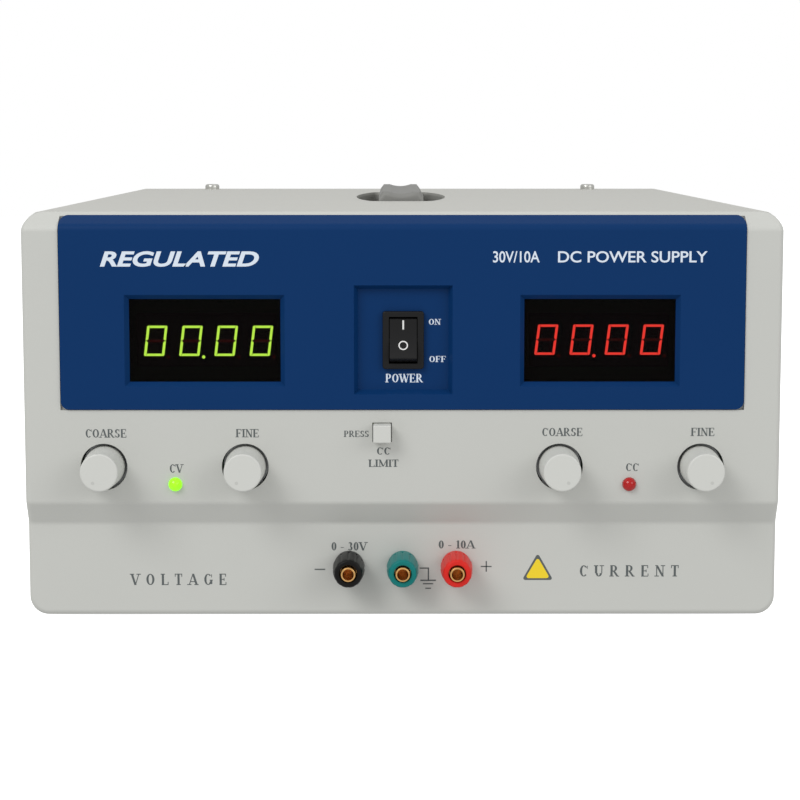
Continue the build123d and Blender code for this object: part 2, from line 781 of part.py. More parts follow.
with BuildPart() as filter_capacitors:
    with BuildSketch(floor_plane(10.0 + BOARD_T)):
        with Locations((-38, 88), (-38, 126), (-38, 164)):
            Circle(17.0)
    extrude(amount=62)
    fillet(filter_capacitors.edges().group_by(Axis.Z)[-1], 1.5)
save(filter_capacitors.part, "filter_capacitors")

with BuildPart() as board_components:
    with BuildSketch(floor_plane(10.0 + BOARD_T)):
        with Locations((2, 80), (2, 110)):
            Rectangle(20.0, 16.0)
        with Locations((40, 95)):
            Rectangle(28.0, 30.0)
        with Locations([(6 + 12 * i, 140) for i in range(4)]):
            Rectangle(7.0, 17.0)
    extrude(amount=15)
    with BuildSketch(floor_plane(10.0 + BOARD_T)):
        with Locations([(6 + 14 * i, 172) for i in range(4)]):
            Circle(5.0)
    extrude(amount=20)
save(board_components.part, "board_components")

# ---------------------------------------------------------------- heat sink and transistors
with BuildPart() as heat_sink:
    with BuildSketch(face_plane(60)):
        with Locations((84.0, 66.0)):
            Rectangle(6.0, 92.0)
        with Locations([(108.0, 24.0 + 7.0 * i) for i in range(13)]):
            Rectangle(44.0, 2.0)
    extrude(amount=-256)
    with BuildSketch(floor_plane(2.0)):
        with Locations((84.0, 80.0), (84.0, 296.0)):
            Rectangle(10.0, 14.0)
    extrude(amount=18.0)
save(heat_sink.part, "heat_sink")

with BuildPart() as power_transistors:
    with BuildSketch(Plane(origin=(81.0, FACE_Y, BASE_Z), x_dir=(0, 1, 0), z_dir=(1, 0, 0))):
        with Locations([(100 + 44.0 * i, 72.0) for i in range(5)]):
            Rectangle(16.0, 20.0)
    extrude(amount=-5.0)
    with BuildSketch(floor_plane(46.0)):
        with Locations([(78.6, 100 + 44.0 * i + s) for i in range(5) for s in (-5.45, 0, 5.45)]):
            Rectangle(0.8, 1.2)
    extrude(amount=16.5)
save(power_transistors.part, "power_transistors")

# ---------------------------------------------------------------- fan
fan_axis = Plane(
    origin=(FAN_X, FACE_Y + REAR_D - SHEET - 25.0, BASE_Z + FAN_H), x_dir=(1, 0, 0), z_dir=(0, 1, 0)
)
with BuildPart() as fan_frame:
    with BuildSketch(fan_axis):
        RectangleRounded(FAN_SIZE, FAN_SIZE, 4.0)
        Circle(38.0, mode=Mode.SUBTRACT)
        with GridLocations(FAN_PITCH, FAN_PITCH, 2, 2):
            Circle(2.2, mode=Mode.SUBTRACT)
    extrude(amount=25.0)
    with BuildSketch(fan_axis):
        Circle(17.0)
        Rectangle(78.0, 4.0)
        Rectangle(4.0, 78.0)
    extrude(amount=3.0)
    with BuildSketch(fan_axis.offset(3.0)):
        Circle(6.0)
    extrude(amount=9.0)
    with BuildSketch(fan_axis):
        Circle(2.0 + RUN_FIT)
    extrude(amount=13.0, mode=Mode.SUBTRACT)
save(fan_frame.part, "fan_frame")

with BuildPart() as fan_rotor:
    with BuildSketch(fan_axis.offset(5.0)):
        Circle(17.0)
    extrude(amount=17.5)
    fillet(fan_rotor.edges().group_by(Axis.Y)[-1], 2.0)
    with BuildSketch(fan_axis.offset(5.0)):
        Circle(7.0)
    extrude(amount=9.0, mode=Mode.SUBTRACT)
    with BuildSketch(fan_axis.offset(1.0)):
        Circle(2.0)
    extrude(amount=14.0)
    for i in range(7):
        blade_dir = radians(360.0 / 7 * i)
        blade_plane = Plane(
            origin=(FAN_X + 16 * cos(blade_dir), fan_axis.origin.Y + 13.75, fan_axis.origin.Z + 16 * sin(blade_dir)),
            x_dir=(0, 1, 0),
            z_dir=(cos(blade_dir), 0, sin(blade_dir)),
        )
        with BuildSketch(blade_plane):
            Rectangle(17.0, 1.8, rotation=48)
        with BuildSketch(blade_plane.offset(20.0)):
            Rectangle(19.0, 1.4, rotation=34)
        loft()
save(fan_rotor.part, "fan_rotor")

guard_plane = Plane(
    origin=(FAN_X, FACE_Y + REAR_D, BASE_Z + FAN_H), x_dir=(1, 0, 0), z_dir=(0, 1, 0)
)
with BuildPart() as fan_guard:
    with BuildSketch(guard_plane.offset(0.8)):
        for ring_r in (39.0, 30.0, 21.0, 12.0):
            Circle(ring_r + 0.8)
            Circle(ring_r - 0.8, mode=Mode.SUBTRACT)
        with PolarLocations(30.0, 4, start_angle=45):
            Rectangle(37.0, 1.6)
    extrude(amount=1.6)
    with BuildSketch(guard_plane):
        with GridLocations(FAN_PITCH, FAN_PITCH, 2, 2):
            Circle(4.2)
    extrude(amount=2.4)
    with BuildSketch(guard_plane.offset(-1.0)):
        with GridLocations(FAN_PITCH, FAN_PITCH, 2, 2):
            Circle(2.2)
    extrude(amount=5.0, mode=Mode.SUBTRACT)
save(fan_guard.part, "fan_guard")

# ---------------------------------------------------------------- mains inlet
rear_face = Plane(origin=(0, FACE_Y + REAR_D, BASE_Z), x_dir=(1, 0, 0), z_dir=(0, -1, 0))


def inlet_corners(width, height, cut):
    """Corners of the inlet's outline: a rectangle with its two upper corners cut."""
    left = INLET_X - width / 2
    right = INLET_X + width / 2
    low = REAR_ROW_H - height / 2
    high = REAR_ROW_H + height / 2
    return [
        (left, low),
        (right, low),
        (right, high - cut),
        (right - cut, high),
        (left + cut, high),
        (left, high - cut),
    ]


with BuildPart() as mains_inlet:
    with BuildSketch(rear_face):
        with Locations((INLET_X, REAR_ROW_H)):
            RectangleRounded(50.0, 24.0, 3.0)
    extrude(amount=-3.0)
    fillet(mains_inlet.edges().group_by(Axis.Y)[-1], 0.8)
    with BuildSketch(rear_face.offset(22.0)):
        Polygon(*inlet_corners(27.2, 20.0, 4.0), align=None)
    extrude(amount=-22.0)
    with BuildSketch(rear_face.offset(-3.5)):
        Polygon(*inlet_corners(24.2, 16.4, 4.0), align=None)
    extrude(amount=20.5, mode=Mode.SUBTRACT)
    with BuildSketch(rear_face.offset(30.0)):
        with Locations((INLET_X, REAR_ROW_H + 3.5)):
            Rectangle(4.0, 2.0)
        with Locations((INLET_X - 7, REAR_ROW_H), (INLET_X + 7, REAR_ROW_H)):
            Rectangle(2.0, 4.0)
    extrude(amount=-28.0)
    with BuildSketch(rear_face.offset(4.0)):
        with Locations((INLET_X, REAR_ROW_H)):
            with GridLocations(40.0, 1, 2, 1):
                Circle(1.6)
    extrude(amount=-9.0, mode=Mode.SUBTRACT)
save(mains_inlet.part, "mains_inlet")

# ---------------------------------------------------------------- fuse holder, its cap and its fuse
with BuildPart() as fuse_holder:
    with BuildSketch(rear_face):
        with Locations((FUSE_X, REAR_ROW_H)):
            Circle(8.5)
    extrude(amount=-2.0)
    with BuildSketch(rear_face.offset(32.0)):
        with Locations((FUSE_X, REAR_ROW_H)):
            Circle(6.2)
    extrude(amount=-32.0)
    with BuildSketch(rear_face.offset(28.0)):
        with Locations((FUSE_X, REAR_ROW_H)):
            Circle(4.2)
    extrude(amount=-32.0, mode=Mode.SUBTRACT)
    with BuildSketch(rear_face.offset(7.2)):
        with Locations((FUSE_X, REAR_ROW_H)):
            RegularPolygon(8.6, 6)
            Circle(6.2, mode=Mode.SUBTRACT)
    extrude(amount=-6.0)
save(fuse_holder.part, "fuse_holder")

with BuildPart() as fuse:
    with BuildSketch(rear_face.offset(26.0)):
        with Locations((FUSE_X, REAR_ROW_H)):
            Circle(2.6)
    extrude(amount=-20.0)
save(fuse.part, "fuse")

with BuildPart() as fuse_cap:
    with BuildSketch(rear_face.offset(-2.4)):
        with Locations((FUSE_X, REAR_ROW_H)):
            Circle(6.6)
    extrude(amount=-9.6)
    with BuildSketch(rear_face.offset(-6.0)):
        with Locations((FUSE_X, REAR_ROW_H)):
            with PolarLocations(6.9, 18):
                Circle(0.7)
    extrude(amount=-7.0, mode=Mode.SUBTRACT)
    with BuildSketch(rear_face.offset(-12.0)):
        with Locations((FUSE_X, REAR_ROW_H)):
            Rectangle(9.0, 1.4)
    extrude(amount=1.6, mode=Mode.SUBTRACT)
    with BuildSketch(rear_face.offset(9.0)):
        with Locations((FUSE_X, REAR_ROW_H)):
            Circle(3.8)
            Circle(3.0, mode=Mode.SUBTRACT)
    extrude(amount=-11.5)
save(fuse_cap.part, "fuse_cap")

# ---------------------------------------------------------------- voltage selector
with BuildPart() as voltage_selector:
    with BuildSketch(rear_face):
        with Locations((SELECT_X, REAR_ROW_H)):
            RectangleRounded(30.0, 13.0, 1.0)
    extrude(amount=-1.2)
    with BuildSketch(rear_face.offset(12.0)):
        with Locations((SELECT_X, REAR_ROW_H)):
            Rectangle(18.0, 9.0)
    extrude(amount=-12.0)
    with BuildSketch(rear_face.offset(3.0)):
        with Locations((SELECT_X, REAR_ROW_H)):
            Rectangle(13.0, 5.6)
    extrude(amount=-6.0, mode=Mode.SUBTRACT)
    with BuildSketch(rear_face.offset(3.0)):
        with Locations((SELECT_X, REAR_ROW_H)):
            with GridLocations(23.0, 1, 2, 1):
                Circle(1.6)
    extrude(amount=-6.0, mode=Mode.SUBTRACT)
save(voltage_selector.part, "voltage_selector")

with BuildPart() as selector_slider:
    with BuildSketch(rear_face.offset(2.7)):
        with Locations((SELECT_X - 3.0, REAR_ROW_H)):
            Rectangle(6.4, 5.0)
    extrude(amount=-3.6)
    with BuildSketch(rear_face.offset(-0.9)):
        with Locations((SELECT_X - 3.0, REAR_ROW_H)):
            Rectangle(1.2, 3.4)
    extrude(amount=0.7, mode=Mode.SUBTRACT)
save(selector_slider.part, "selector_slider")

# ---------------------------------------------------------------- feet
with BuildPart() as feet:
    with BuildSketch(floor_plane(PAN_LOW_H)):
        with Locations(FEET):
            Circle(10.0)
    extrude(amount=-(BASE_Z + PAN_LOW_H), taper=6)
    fillet(feet.edges().group_by(Axis.Z)[0], 0.8)
    with BuildSketch(floor_plane(-BASE_Z)):
        with Locations(FEET):
            Circle(4.4)
    extrude(amount=3.4, mode=Mode.SUBTRACT)
    with BuildSketch(floor_plane(-BASE_Z)):
        with Locations(FEET):
            Circle(2.1)
    extrude(amount=8, mode=Mode.SUBTRACT)
save(feet.part, "feet")

# ---------------------------------------------------------------- screws
m4_places = []
for x, d in TOP_SCREWS:
    m4_places.append(Location((x, FACE_Y + d, BASE_Z + BEZEL_H)))
for d, h in SIDE_SCREWS:
    for side in (-1, 1):
        spot = Plane(origin=(side * COVER_W / 2, FACE_Y + d, BASE_Z + h), z_dir=(side, 0, 0))
        m4_places.append(spot.location)
for fx in (-FAN_PITCH / 2, FAN_PITCH / 2):
    for fh in (-FAN_PITCH / 2, FAN_PITCH / 2):
        spot = Plane(
            origin=(FAN_X + fx, FACE_Y + REAR_D + 2.4, BASE_Z + FAN_H + fh), z_dir=(0, 1, 0)
        )
        m4_places.append(spot.location)
for x, d in FEET:
    spot = Plane(origin=(x, FACE_Y + d, BASE_Z - 1.6), z_dir=(0, 0, -1))
    m4_places.append(spot.location)

with BuildPart() as m4_screws:
    with Locations(m4_places):
        add(pan_screw(3.6, 2.6, 2.0, 8.0))
save(m4_screws.part, "m4_screws")

m3_places = []
for x, h in BOSSES:
    spot = Plane(origin=(x, FACE_Y + BOARD_D + BOARD_T, BASE_Z + h), z_dir=(0, 1, 0))
    m3_places.append(spot.location)
for x, out in ((INLET_X - 20, 3.0), (INLET_X + 20, 3.0), (SELECT_X - 11.5, 1.2), (SELECT_X + 11.5, 1.2)):
    spot = Plane(origin=(x, FACE_Y + REAR_D + out, BASE_Z + REAR_ROW_H), z_dir=(0, 1, 0))
    m3_places.append(spot.location)

with BuildPart() as m3_screws:
    with Locations(m3_places):
        add(pan_screw(2.75, 1.8, 1.45, 7.0))
save(m3_screws.part, "m3_screws")
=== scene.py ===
import math

import bmesh
import bpy
from mathutils import Matrix, Vector


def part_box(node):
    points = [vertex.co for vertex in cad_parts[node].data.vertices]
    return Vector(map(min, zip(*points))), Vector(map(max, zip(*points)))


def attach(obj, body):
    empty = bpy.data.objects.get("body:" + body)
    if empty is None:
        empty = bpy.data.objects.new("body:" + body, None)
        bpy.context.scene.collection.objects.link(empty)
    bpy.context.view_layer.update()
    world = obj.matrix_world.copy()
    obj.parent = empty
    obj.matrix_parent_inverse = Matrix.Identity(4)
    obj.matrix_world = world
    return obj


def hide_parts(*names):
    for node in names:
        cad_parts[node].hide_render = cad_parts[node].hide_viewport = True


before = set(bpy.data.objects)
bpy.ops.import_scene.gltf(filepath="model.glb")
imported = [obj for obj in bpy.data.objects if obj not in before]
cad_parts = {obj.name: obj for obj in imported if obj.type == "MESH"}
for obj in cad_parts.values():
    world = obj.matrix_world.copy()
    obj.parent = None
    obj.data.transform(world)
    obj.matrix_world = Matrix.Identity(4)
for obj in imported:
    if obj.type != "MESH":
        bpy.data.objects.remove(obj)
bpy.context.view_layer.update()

bl_info = {
    "name": "Bench power supply",
    "version": (1, 0, 0),
    "blender": (4, 5, 0),
    "location": "3D View > Sidebar > Power supply",
    "description": "Finishes a bench power supply around its CAD frame",
    "category": "Object",
}

MM = 0.001
FACE_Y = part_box("front_bezel")[0].y
BASE_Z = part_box("front_bezel")[0].z
FASCIA_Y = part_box("blue_fascia")[0].y
LOW_FACE_Y = FACE_Y + 5.0 * MM
DISH_Y = FACE_Y + 2.5 * MM
SAME_FLAT = math.cos(math.radians(0.3))
ROUND_EDGE = math.cos(math.radians(50))
POINT_R = 0.6
POSTS = ("negative", "ground", "positive")
KNOBS = ("voltage_coarse", "voltage_fine", "current_coarse", "current_fine")


def screen(red, green, blue):
    """A screen colour, 0 to 255, as linear light."""
    shares = [value / 255 for value in (red, green, blue)]
    return (*[s / 12.92 if s <= 0.04045 else ((s + 0.055) / 1.055) ** 2.4 for s in shares], 1.0)


def shade(colour, factor):
    """The same colour, lighter or darker."""
    return (*[min(1.0, value * factor) for value in colour[:3]], 1.0)


# ---------------------------------------------------------------- settings
def colour_setting(name, description, default):
    return bpy.props.FloatVectorProperty(
        name=name, description=description, subtype="COLOR", size=4, min=0, max=1, default=default
    )


def length_setting(name, description, default):
    return bpy.props.FloatProperty(
        name=name, description=description, default=default, min=0, unit="LENGTH", precision=5
    )


class CaseSettings(bpy.types.PropertyGroup):
    """Colours and edges of the case."""

    bezel: colour_setting("Bezel", "Moulded front bezel", screen(193, 194, 189))
    cover: colour_setting("Cover", "Painted steel cover and back", screen(189, 189, 183))
    fascia: colour_setting("Fascia", "Coloured upper panel", screen(10, 50, 98))
    handle: colour_setting("Handle", "Carrying handle and its pocket", screen(148, 148, 144))
    edge: length_setting("Edge", "Width of a broken edge", 0.25 * MM)


class DisplaySettings(bpy.types.PropertyGroup):
    """Read-outs and lamps."""

    voltage: colour_setting("Voltage digits", "Lit voltage segments", screen(200, 252, 84))
    current: colour_setting("Current digits", "Lit current segments", screen(255, 66, 56))
    # this colour also drives the faint painted glow of the off segments
    unlit: colour_setting("Unlit segments", "Segments that are off", screen(66, 16, 14))
    cv_lamp: colour_setting("CV lamp", "Constant-voltage lamp", screen(150, 255, 22))
    cc_lamp: colour_setting("CC lamp", "Constant-current lamp", screen(180, 4, 6))
    digit_height: length_setting("Digit height", "Height of one digit", 11.05 * MM)
    digit_width: length_setting("Digit width", "Width of one digit before its slant", 7.4 * MM)
    slant: bpy.props.FloatProperty(
        name="Slant", description="Lean of the digits", default=math.radians(7), subtype="ANGLE"
    )


class ControlSettings(bpy.types.PropertyGroup):
    """Knobs, button, switch and output posts."""

    knob: colour_setting("Knobs", "Knobs and push button", screen(203, 204, 199))
    switch: colour_setting("Switch", "Rocker and its frame", screen(18, 18, 19))
    negative: colour_setting("Negative post", "Cap of the negative post", screen(8, 7, 6))
    ground: colour_setting("Ground post", "Cap of the ground post", screen(6, 116, 113))
    positive: colour_setting("Positive post", "Cap of the positive post", screen(212, 38, 30))


class LegendSettings(bpy.types.PropertyGroup):
    """Printing on the front."""

    dark_ink: colour_setting("Dark ink", "Lettering on grey", screen(84, 90, 90))
    light_ink: colour_setting("Light ink", "Lettering on the fascia", screen(214, 224, 236))
    relief: length_setting("Relief", "Height of the printed ink", 0.03 * MM)


class StageSettings(bpy.types.PropertyGroup):
    """Floor, lights and camera."""

    floor_size: length_setting("Floor size", "Side of the square floor", 8.0)
    key: bpy.props.FloatProperty(name="Key", description="Power of the key light", default=29, unit="POWER")
    fill: bpy.props.FloatProperty(
        name="Fill", description="Power of the fill light", default=12, unit="POWER"
    )
    sky: bpy.props.FloatProperty(name="Sky", description="Strength of the room light", default=0.66)


# ---------------------------------------------------------------- shader maths
class Wire:
    """A socket's output that plain arithmetic can be written with."""

    def __init__(self, finish, socket):
        self.finish = finish
        self.socket = socket

    def maths(self, operation, first, second):
        return self.finish.node("Math", {"operation": operation}, {0: first, 1: second})

    def __add__(self, other):
        return self.maths("ADD", self, other)

    def __sub__(self, other):
        return self.maths("SUBTRACT", self, other)

    def __rsub__(self, other):
        return self.maths("SUBTRACT", other, self)

    def __mul__(self, other):
        return self.maths("MULTIPLY", self, other)

    __radd__ = __add__
    __rmul__ = __mul__


class Finish:
    """One material, its shader and the nodes that feed it."""

    def __init__(self, name, constants):
        self.material = bpy.data.materials.new(name)
        self.material.use_nodes = True
        self.tree = self.material.node_tree
        self.shader = self.tree.nodes["Principled BSDF"]
        for socket, value in constants.items():
            self.shader.inputs[socket].default_value = value
        self.place = self.node("TexCoord", output="Object")

    def node(self, kind, settings=None, values=None, output=0):
        made = self.tree.nodes.new("ShaderNode" + kind)
        for key, value in (settings or {}).items():
            setattr(made, key, value)
        for key, value in (values or {}).items():
            self.join(value, made.inputs[key])
        return Wire(self, made.outputs[output])

    def join(self, value, socket):
        if isinstance(value, Wire):
            self.tree.links.new(value.socket, socket)
        else:
            socket.default_value = value

    def feed(self, **sockets):
        for name, value in sockets.items():
            self.join(value, self.shader.inputs[name.replace("_", " ")])

    def stretched(self, stretch):
        return self.node("Mapping", values={"Vector": self.place, "Scale": stretch})

    def noise(self, size, detail=2.0, place=None):
        """Noise whose features are about size across, in metres."""
        values = {"Vector": place or self.place, "Scale": 1 / size, "Detail": detail}
        return self.node("TexNoise", values=values)

    def between(self, value, low, high):
        """0 where value is under low, 1 over high, smooth in between."""
        return self.node(
            "MapRange", {"interpolation_type": "SMOOTHSTEP"}, {0: value, 1: low, 2: high}
        )

    def mix(self, factor, first, second):
        settings = {"data_type": "RGBA"}
        return self.node("Mix", settings, {0: factor, 6: first, 7: second}, output=2)

    def relief(self, height, depth):
        bump = self.node("Bump", values={"Height": height, "Distance": depth, "Strength": 1.0})
        self.feed(Normal=bump)


def moulded(name, colour, roughness, grain=0.6, depth=0.010, mottle=0.03, wear=1.14, **more):
    """Moulded or painted skin: fine grain, faint mottling, uneven sheen, paler worn edges."""
    finish = Finish(name, {key.replace("_", " "): value for key, value in more.items()})
    fine = finish.noise(grain * MM, 3.0)
    broad = finish.noise(38 * MM)
    tone = broad * 0.65 + fine * 0.35
    skin = finish.mix(tone, shade(colour, 1 - mottle), shade(colour, 1 + mottle))
    edge = finish.node("Attribute", {"attribute_name": "worn_edge"}, output="Fac")
    rubbed = edge * finish.between(finish.noise(2.5 * MM), 0.35, 0.65)
    finish.feed(Base_Color=finish.mix(rubbed, skin, shade(colour, wear)))
    finish.feed(Roughness=broad * 0.10 + fine * 0.06 + (roughness - 0.08))
    finish.relief(fine, depth * MM)
    return finish.material


def metal(name, colour, roughness, stretch=(1, 1, 1), scratch=0.35, depth=0.004, tarnish=0.12):
    """Bare or plated metal with drawn scratches and a little tarnish."""
    finish = Finish(name, {"Metallic": 1.0})
    drawn = finish.noise(scratch * MM, 3.0, finish.stretched(stretch))
    cloud = finish.noise(6 * MM)
    dull = finish.between(cloud, 0.4, 0.75)
    finish.feed(Base_Color=finish.mix(dull, colour, shade(colour, 1 - tarnish)))
    finish.feed(Roughness=drawn * 0.16 + dull * 0.10 + (roughness - 0.1))
    finish.relief(drawn, depth * MM)
    return finish.material


def glowing(name, colour, strength, roughness=0.3, body=0.25):
    """A lit plastic segment or lamp: its glow is a little uneven, as through a diffuser."""
    finish = Finish(name, {"Emission Strength": strength, "Roughness": roughness})
    haze = finish.noise(1.3 * MM)
    finish.feed(Base_Color=finish.mix(haze, shade(colour, body * 0.8), shade(colour, body)))
    finish.feed(Emission_Color=finish.mix(haze, shade(colour, 0.82), colour))
    return finish.material


def make_finishes(scene):
    """Every finish of the supply, by a short name."""
    case, show, controls, ink = scene.psu_case, scene.psu_display, scene.psu_controls, scene.psu_legend
    made = {
        "bezel": moulded(
            "moulded_bezel_skin", case.bezel, 0.52, grain=0.55, depth=0.014, mottle=0.018, wear=1.07,
        ),
        "cover": moulded(
            "cover_paint", case.cover, 0.5, grain=0.9, depth=0.016, mottle=0.02, wear=1.1,
        ),
        "fascia": moulded("fascia_skin", case.fascia, 0.42, grain=0.5, depth=0.010, mottle=0.05, wear=1.55,
                         Specular_IOR_Level=0.08),
        # the pocket takes the cover's grey darkened to 0.75: painted shade in the recess, not a darker part
        "pocket": moulded(
            "pocket_skin", shade(case.cover, 0.75), 0.5, grain=0.9, depth=0.016, mottle=0.03,
        ),
        "handle": moulded(
            "handle_skin", shade(case.handle, 0.7), 0.55, grain=0.7, depth=0.02, mottle=0.05, wear=1.18,
        ),
        "knob": moulded(
            "knob_skin", controls.knob, 0.42, grain=0.45, depth=0.006, mottle=0.015, wear=1.05,
        ),
        "knob_dot": moulded(
            "knob_dot_skin", shade(controls.knob, 0.86), 0.42, grain=0.45, depth=0.006, mottle=0.015,
        ),
        "switch": moulded(
            "switch_skin", controls.switch, 0.42, grain=0.35, depth=0.010, mottle=0.12, wear=1.9,
            Specular_IOR_Level=0.25,
        ),
        "black": moulded(
            "black_moulding", screen(30, 30, 31), 0.48, grain=0.4, depth=0.012, mottle=0.12, wear=1.8,
        ),
        "digit_bed": moulded(
            "display_bed", screen(24, 12, 11), 0.6, grain=0.4, depth=0.008, mottle=0.2, wear=1.0,
        ),
        "rubber": moulded(
            "foot_rubber", screen(33, 33, 33), 0.82, grain=0.5, depth=0.03, mottle=0.15, wear=1.5,
        ),
        "red_slider": moulded(
            "slider_skin", screen(196, 34, 30), 0.4, grain=0.4, depth=0.006, wear=1.2,
        ),
        "dark_ink": moulded(
            "dark_ink", ink.dark_ink, 0.6, grain=0.2, depth=0.002, mottle=0.05, wear=1.0,
        ),
        "light_ink": moulded(
            "light_ink", ink.light_ink, 0.55, grain=0.2, depth=0.002, mottle=0.03, wear=1.0,
        ),
        "yellow_ink": moulded(
            "yellow_ink", screen(238, 208, 30), 0.5, grain=0.2, depth=0.002, mottle=0.03, wear=1.0,
        ),
        "mark_ink": moulded(
            "switch_mark", screen(226, 226, 224), 0.5, grain=0.2, depth=0.002, mottle=0.03, wear=1.0,
        ),
        "voltage_lit": glowing("voltage_segment", show.voltage, 10.0),
        "current_lit": glowing("current_segment", show.current, 9.0),
        # off segments and points glow faintly: painted light, since nothing lights them
        "unlit": glowing("unlit_segment", show.unlit, 4.0, body=0.8),
        "cv_lamp": glowing("cv_lamp_lens", show.cv_lamp, 0.85, roughness=0.15, body=0.8),
        "cc_lamp": glowing("cc_lamp_lens", show.cc_lamp, 0.12, roughness=0.15, body=0.9),
        "brass": metal("turned_brass", screen(238, 186, 118), 0.28, stretch=(1, 12, 1)),
        "nickel": metal("nickel_plate", screen(205, 205, 200), 0.3),
        "steel": metal("rolled_steel", screen(176, 178, 178), 0.42, stretch=(1, 9, 1), scratch=0.8),
        "aluminium": metal("extruded_aluminium", screen(196, 198, 200), 0.4, stretch=(9, 1, 9), scratch=0.6),
        "winding": moulded(
            "winding_tape", screen(176, 128, 38), 0.45, grain=1.4, depth=0.05, mottle=0.12, wear=1.1,
        ),
        "capacitor": moulded(
            "capacitor_sleeve", screen(28, 44, 84), 0.35, grain=0.9, depth=0.012, mottle=0.08,
        ),
    }
    for post in POSTS:
        made[post] = moulded(
            post + "_post_skin", getattr(controls, post), 0.4,
            grain=0.35, depth=0.010, mottle=0.07, wear=1.35,
            Specular_IOR_Level=0.22
        )
    made["window"] = smoked_window()
    made["board"] = board_lacquer()
    made["core"] = laminations()
    made["fuse"] = fuse_glass()
    return made


def smoked_window():
    """Tinted acrylic: near black, clear enough for the digits behind it."""
    tint = (0.0025, 0.0018, 0.0018, 1)
    finish = Finish("smoked_window", {"Specular IOR Level": 0.03, "Alpha": 0.7, "Base Color": tint})
    haze = finish.noise(14 * MM, 4.0)
    finish.feed(Roughness=haze * 0.06 + 0.03)
    finish.relief(haze, 0.01 * MM)
    return finish.material


def board_lacquer():
    """Green lacquer over copper tracks on a grid."""
    finish = Finish("board_lacquer", {"Roughness": 0.35})
    tracks = finish.node(
        "TexBrick",
        {"offset": 0.5, "squash": 0.6},
        {"Vector": finish.place, "Scale": 90.0, "Mortar Size": 0.02},
        output="Fac",
    )
    speck = finish.noise(0.8 * MM)
    lacquer = finish.mix(speck, screen(16, 74, 46), screen(22, 88, 54))
    finish.feed(Base_Color=finish.mix(tracks, lacquer, screen(58, 128, 82)))
    finish.feed(Roughness=speck * 0.1 + 0.3)
    finish.relief(tracks, 0.035 * MM)
    return finish.material


def laminations():
    """Stacked silicon steel, each sheet half a millimetre thick."""
    finish = Finish("core_laminations", {"Metallic": 0.7})
    sheets = finish.node(
        "TexWave",
        {"bands_direction": "Y"},
        {"Vector": finish.place, "Scale": 320.0, "Distortion": 0.4},
        output="Fac",
    )
    rust = finish.between(finish.noise(9 * MM, 4.0), 0.52, 0.72)
    finish.feed(Base_Color=finish.mix(rust, screen(92, 94, 98), screen(86, 62, 46)))
    finish.feed(Roughness=rust * 0.3 + 0.42)
    finish.relief(sheets, 0.12 * MM)
    return finish.material


def fuse_glass():
    """Glass tube with plated end caps."""
    finish = Finish("fuse_glass", {"Roughness": 0.12, "IOR": 1.5})
    low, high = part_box("fuse")
    along = finish.node("SeparateXYZ", values={0: finish.place}, output="Y")
    caps = finish.between(along, high.y - 5.2 * MM, high.y - 5 * MM) + finish.between(
        along * -1.0, -low.y - 5.2 * MM, -low.y - 5 * MM
    )
    finish.feed(Base_Color=finish.mix(caps, screen(196, 204, 200), screen(206, 204, 196)))
    finish.feed(Metallic=caps)
    finish.feed(Roughness=finish.noise(0.8 * MM) * 0.1 + 0.1)
    return finish.material


# ---------------------------------------------------------------- shaping
def point(x, depth, height):
    """A place on the supply: across, back from the upper face, up from the bezel's underside."""
    return Vector((x * MM, FACE_Y + depth * MM, BASE_Z + height * MM))


def even_normals(shape):
    """Corner normals that lean to whole flats, so a flat shades flat right up to its round edges."""
    shape.normal_update()
    shape.faces.index_update()
    flat_of = {}
    areas = []
    for first in shape.faces:
        if first.index in flat_of:
            continue
        flat_of[first.index] = len(areas)
        waiting, area = [first], 0.0
        while waiting:
            face = waiting.pop()
            area += face.calc_area()
            for edge in face.edges:
                for near in edge.link_faces:
                    if near.index not in flat_of and near.normal.dot(first.normal) > SAME_FLAT:
                        flat_of[near.index] = len(areas)
                        waiting.append(near)
        areas.append(area)
    corners = []
    for face in shape.faces:
        for loop in face.loops:
            lean = Vector()
            met = set()
            for near in loop.vert.link_faces:
                flat = flat_of[near.index]
                if flat not in met and near.normal.dot(face.normal) > ROUND_EDGE:
                    met.add(flat)
                    lean += near.normal * areas[flat]
            corners.append(lean.normalized() if lean.length > 0 else face.normal.copy())
    return corners


def piece(name, shape, finish, body="case", replaced=(), smooth=True):
    """Makes an object of a bmesh and lets it ride on its body."""
    mesh = bpy.data.meshes.new(name)
    for face in shape.faces:
        face.smooth = smooth
    corners = even_normals(shape) if smooth else None
    shape.to_mesh(mesh)
    shape.free()
    if corners:
        mesh.normals_split_custom_set(corners)
    made = bpy.data.objects.new(name, mesh)
    bpy.context.scene.collection.objects.link(made)
    mesh.materials.append(finish)
    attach(made, body)
    if replaced:
        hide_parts(*replaced)
    return made


def break_edges(shape, width, angle=34, segments=2):
    """Rounds every edge sharper than angle and marks the new faces as worn."""
    worn = shape.faces.layers.float.get("worn_edge") or shape.faces.layers.float.new("worn_edge")
    sharp = [
        edge
        for edge in shape.edges
        if len(edge.link_faces) == 2 and edge.calc_face_angle(0) > math.radians(angle)
    ]
    made = bmesh.ops.bevel(
        shape, geom=sharp, offset=width, segments=segments, profile=0.5, affect="EDGES",
        clamp_overlap=True, miter_outer="ARC",
    )
    for face in made["faces"]:
        face[worn] = 1.0


def cad_shape(node):
    """A CAD node's surface as one welded skin."""
    shape = bmesh.new()
    shape.from_mesh(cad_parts[node].data)
    bmesh.ops.remove_doubles(shape, verts=shape.verts, dist=1e-6)
    return shape


def soften(node, name, finish, body="case", width=None, segments=2, angle=34):
    """The CAD node's own shape with its edges broken, in place of the node."""
    shape = cad_shape(node)
    width = bpy.context.scene.psu_case.edge if width is None else width * MM
    break_edges(shape, width, angle, segments)
    return piece(name, shape, finish, body, (node,))


def dress(node, finish):
    """Gives a CAD node that stays in view its finish."""
    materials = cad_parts[node].data.materials
    materials.clear()
    materials.append(finish)


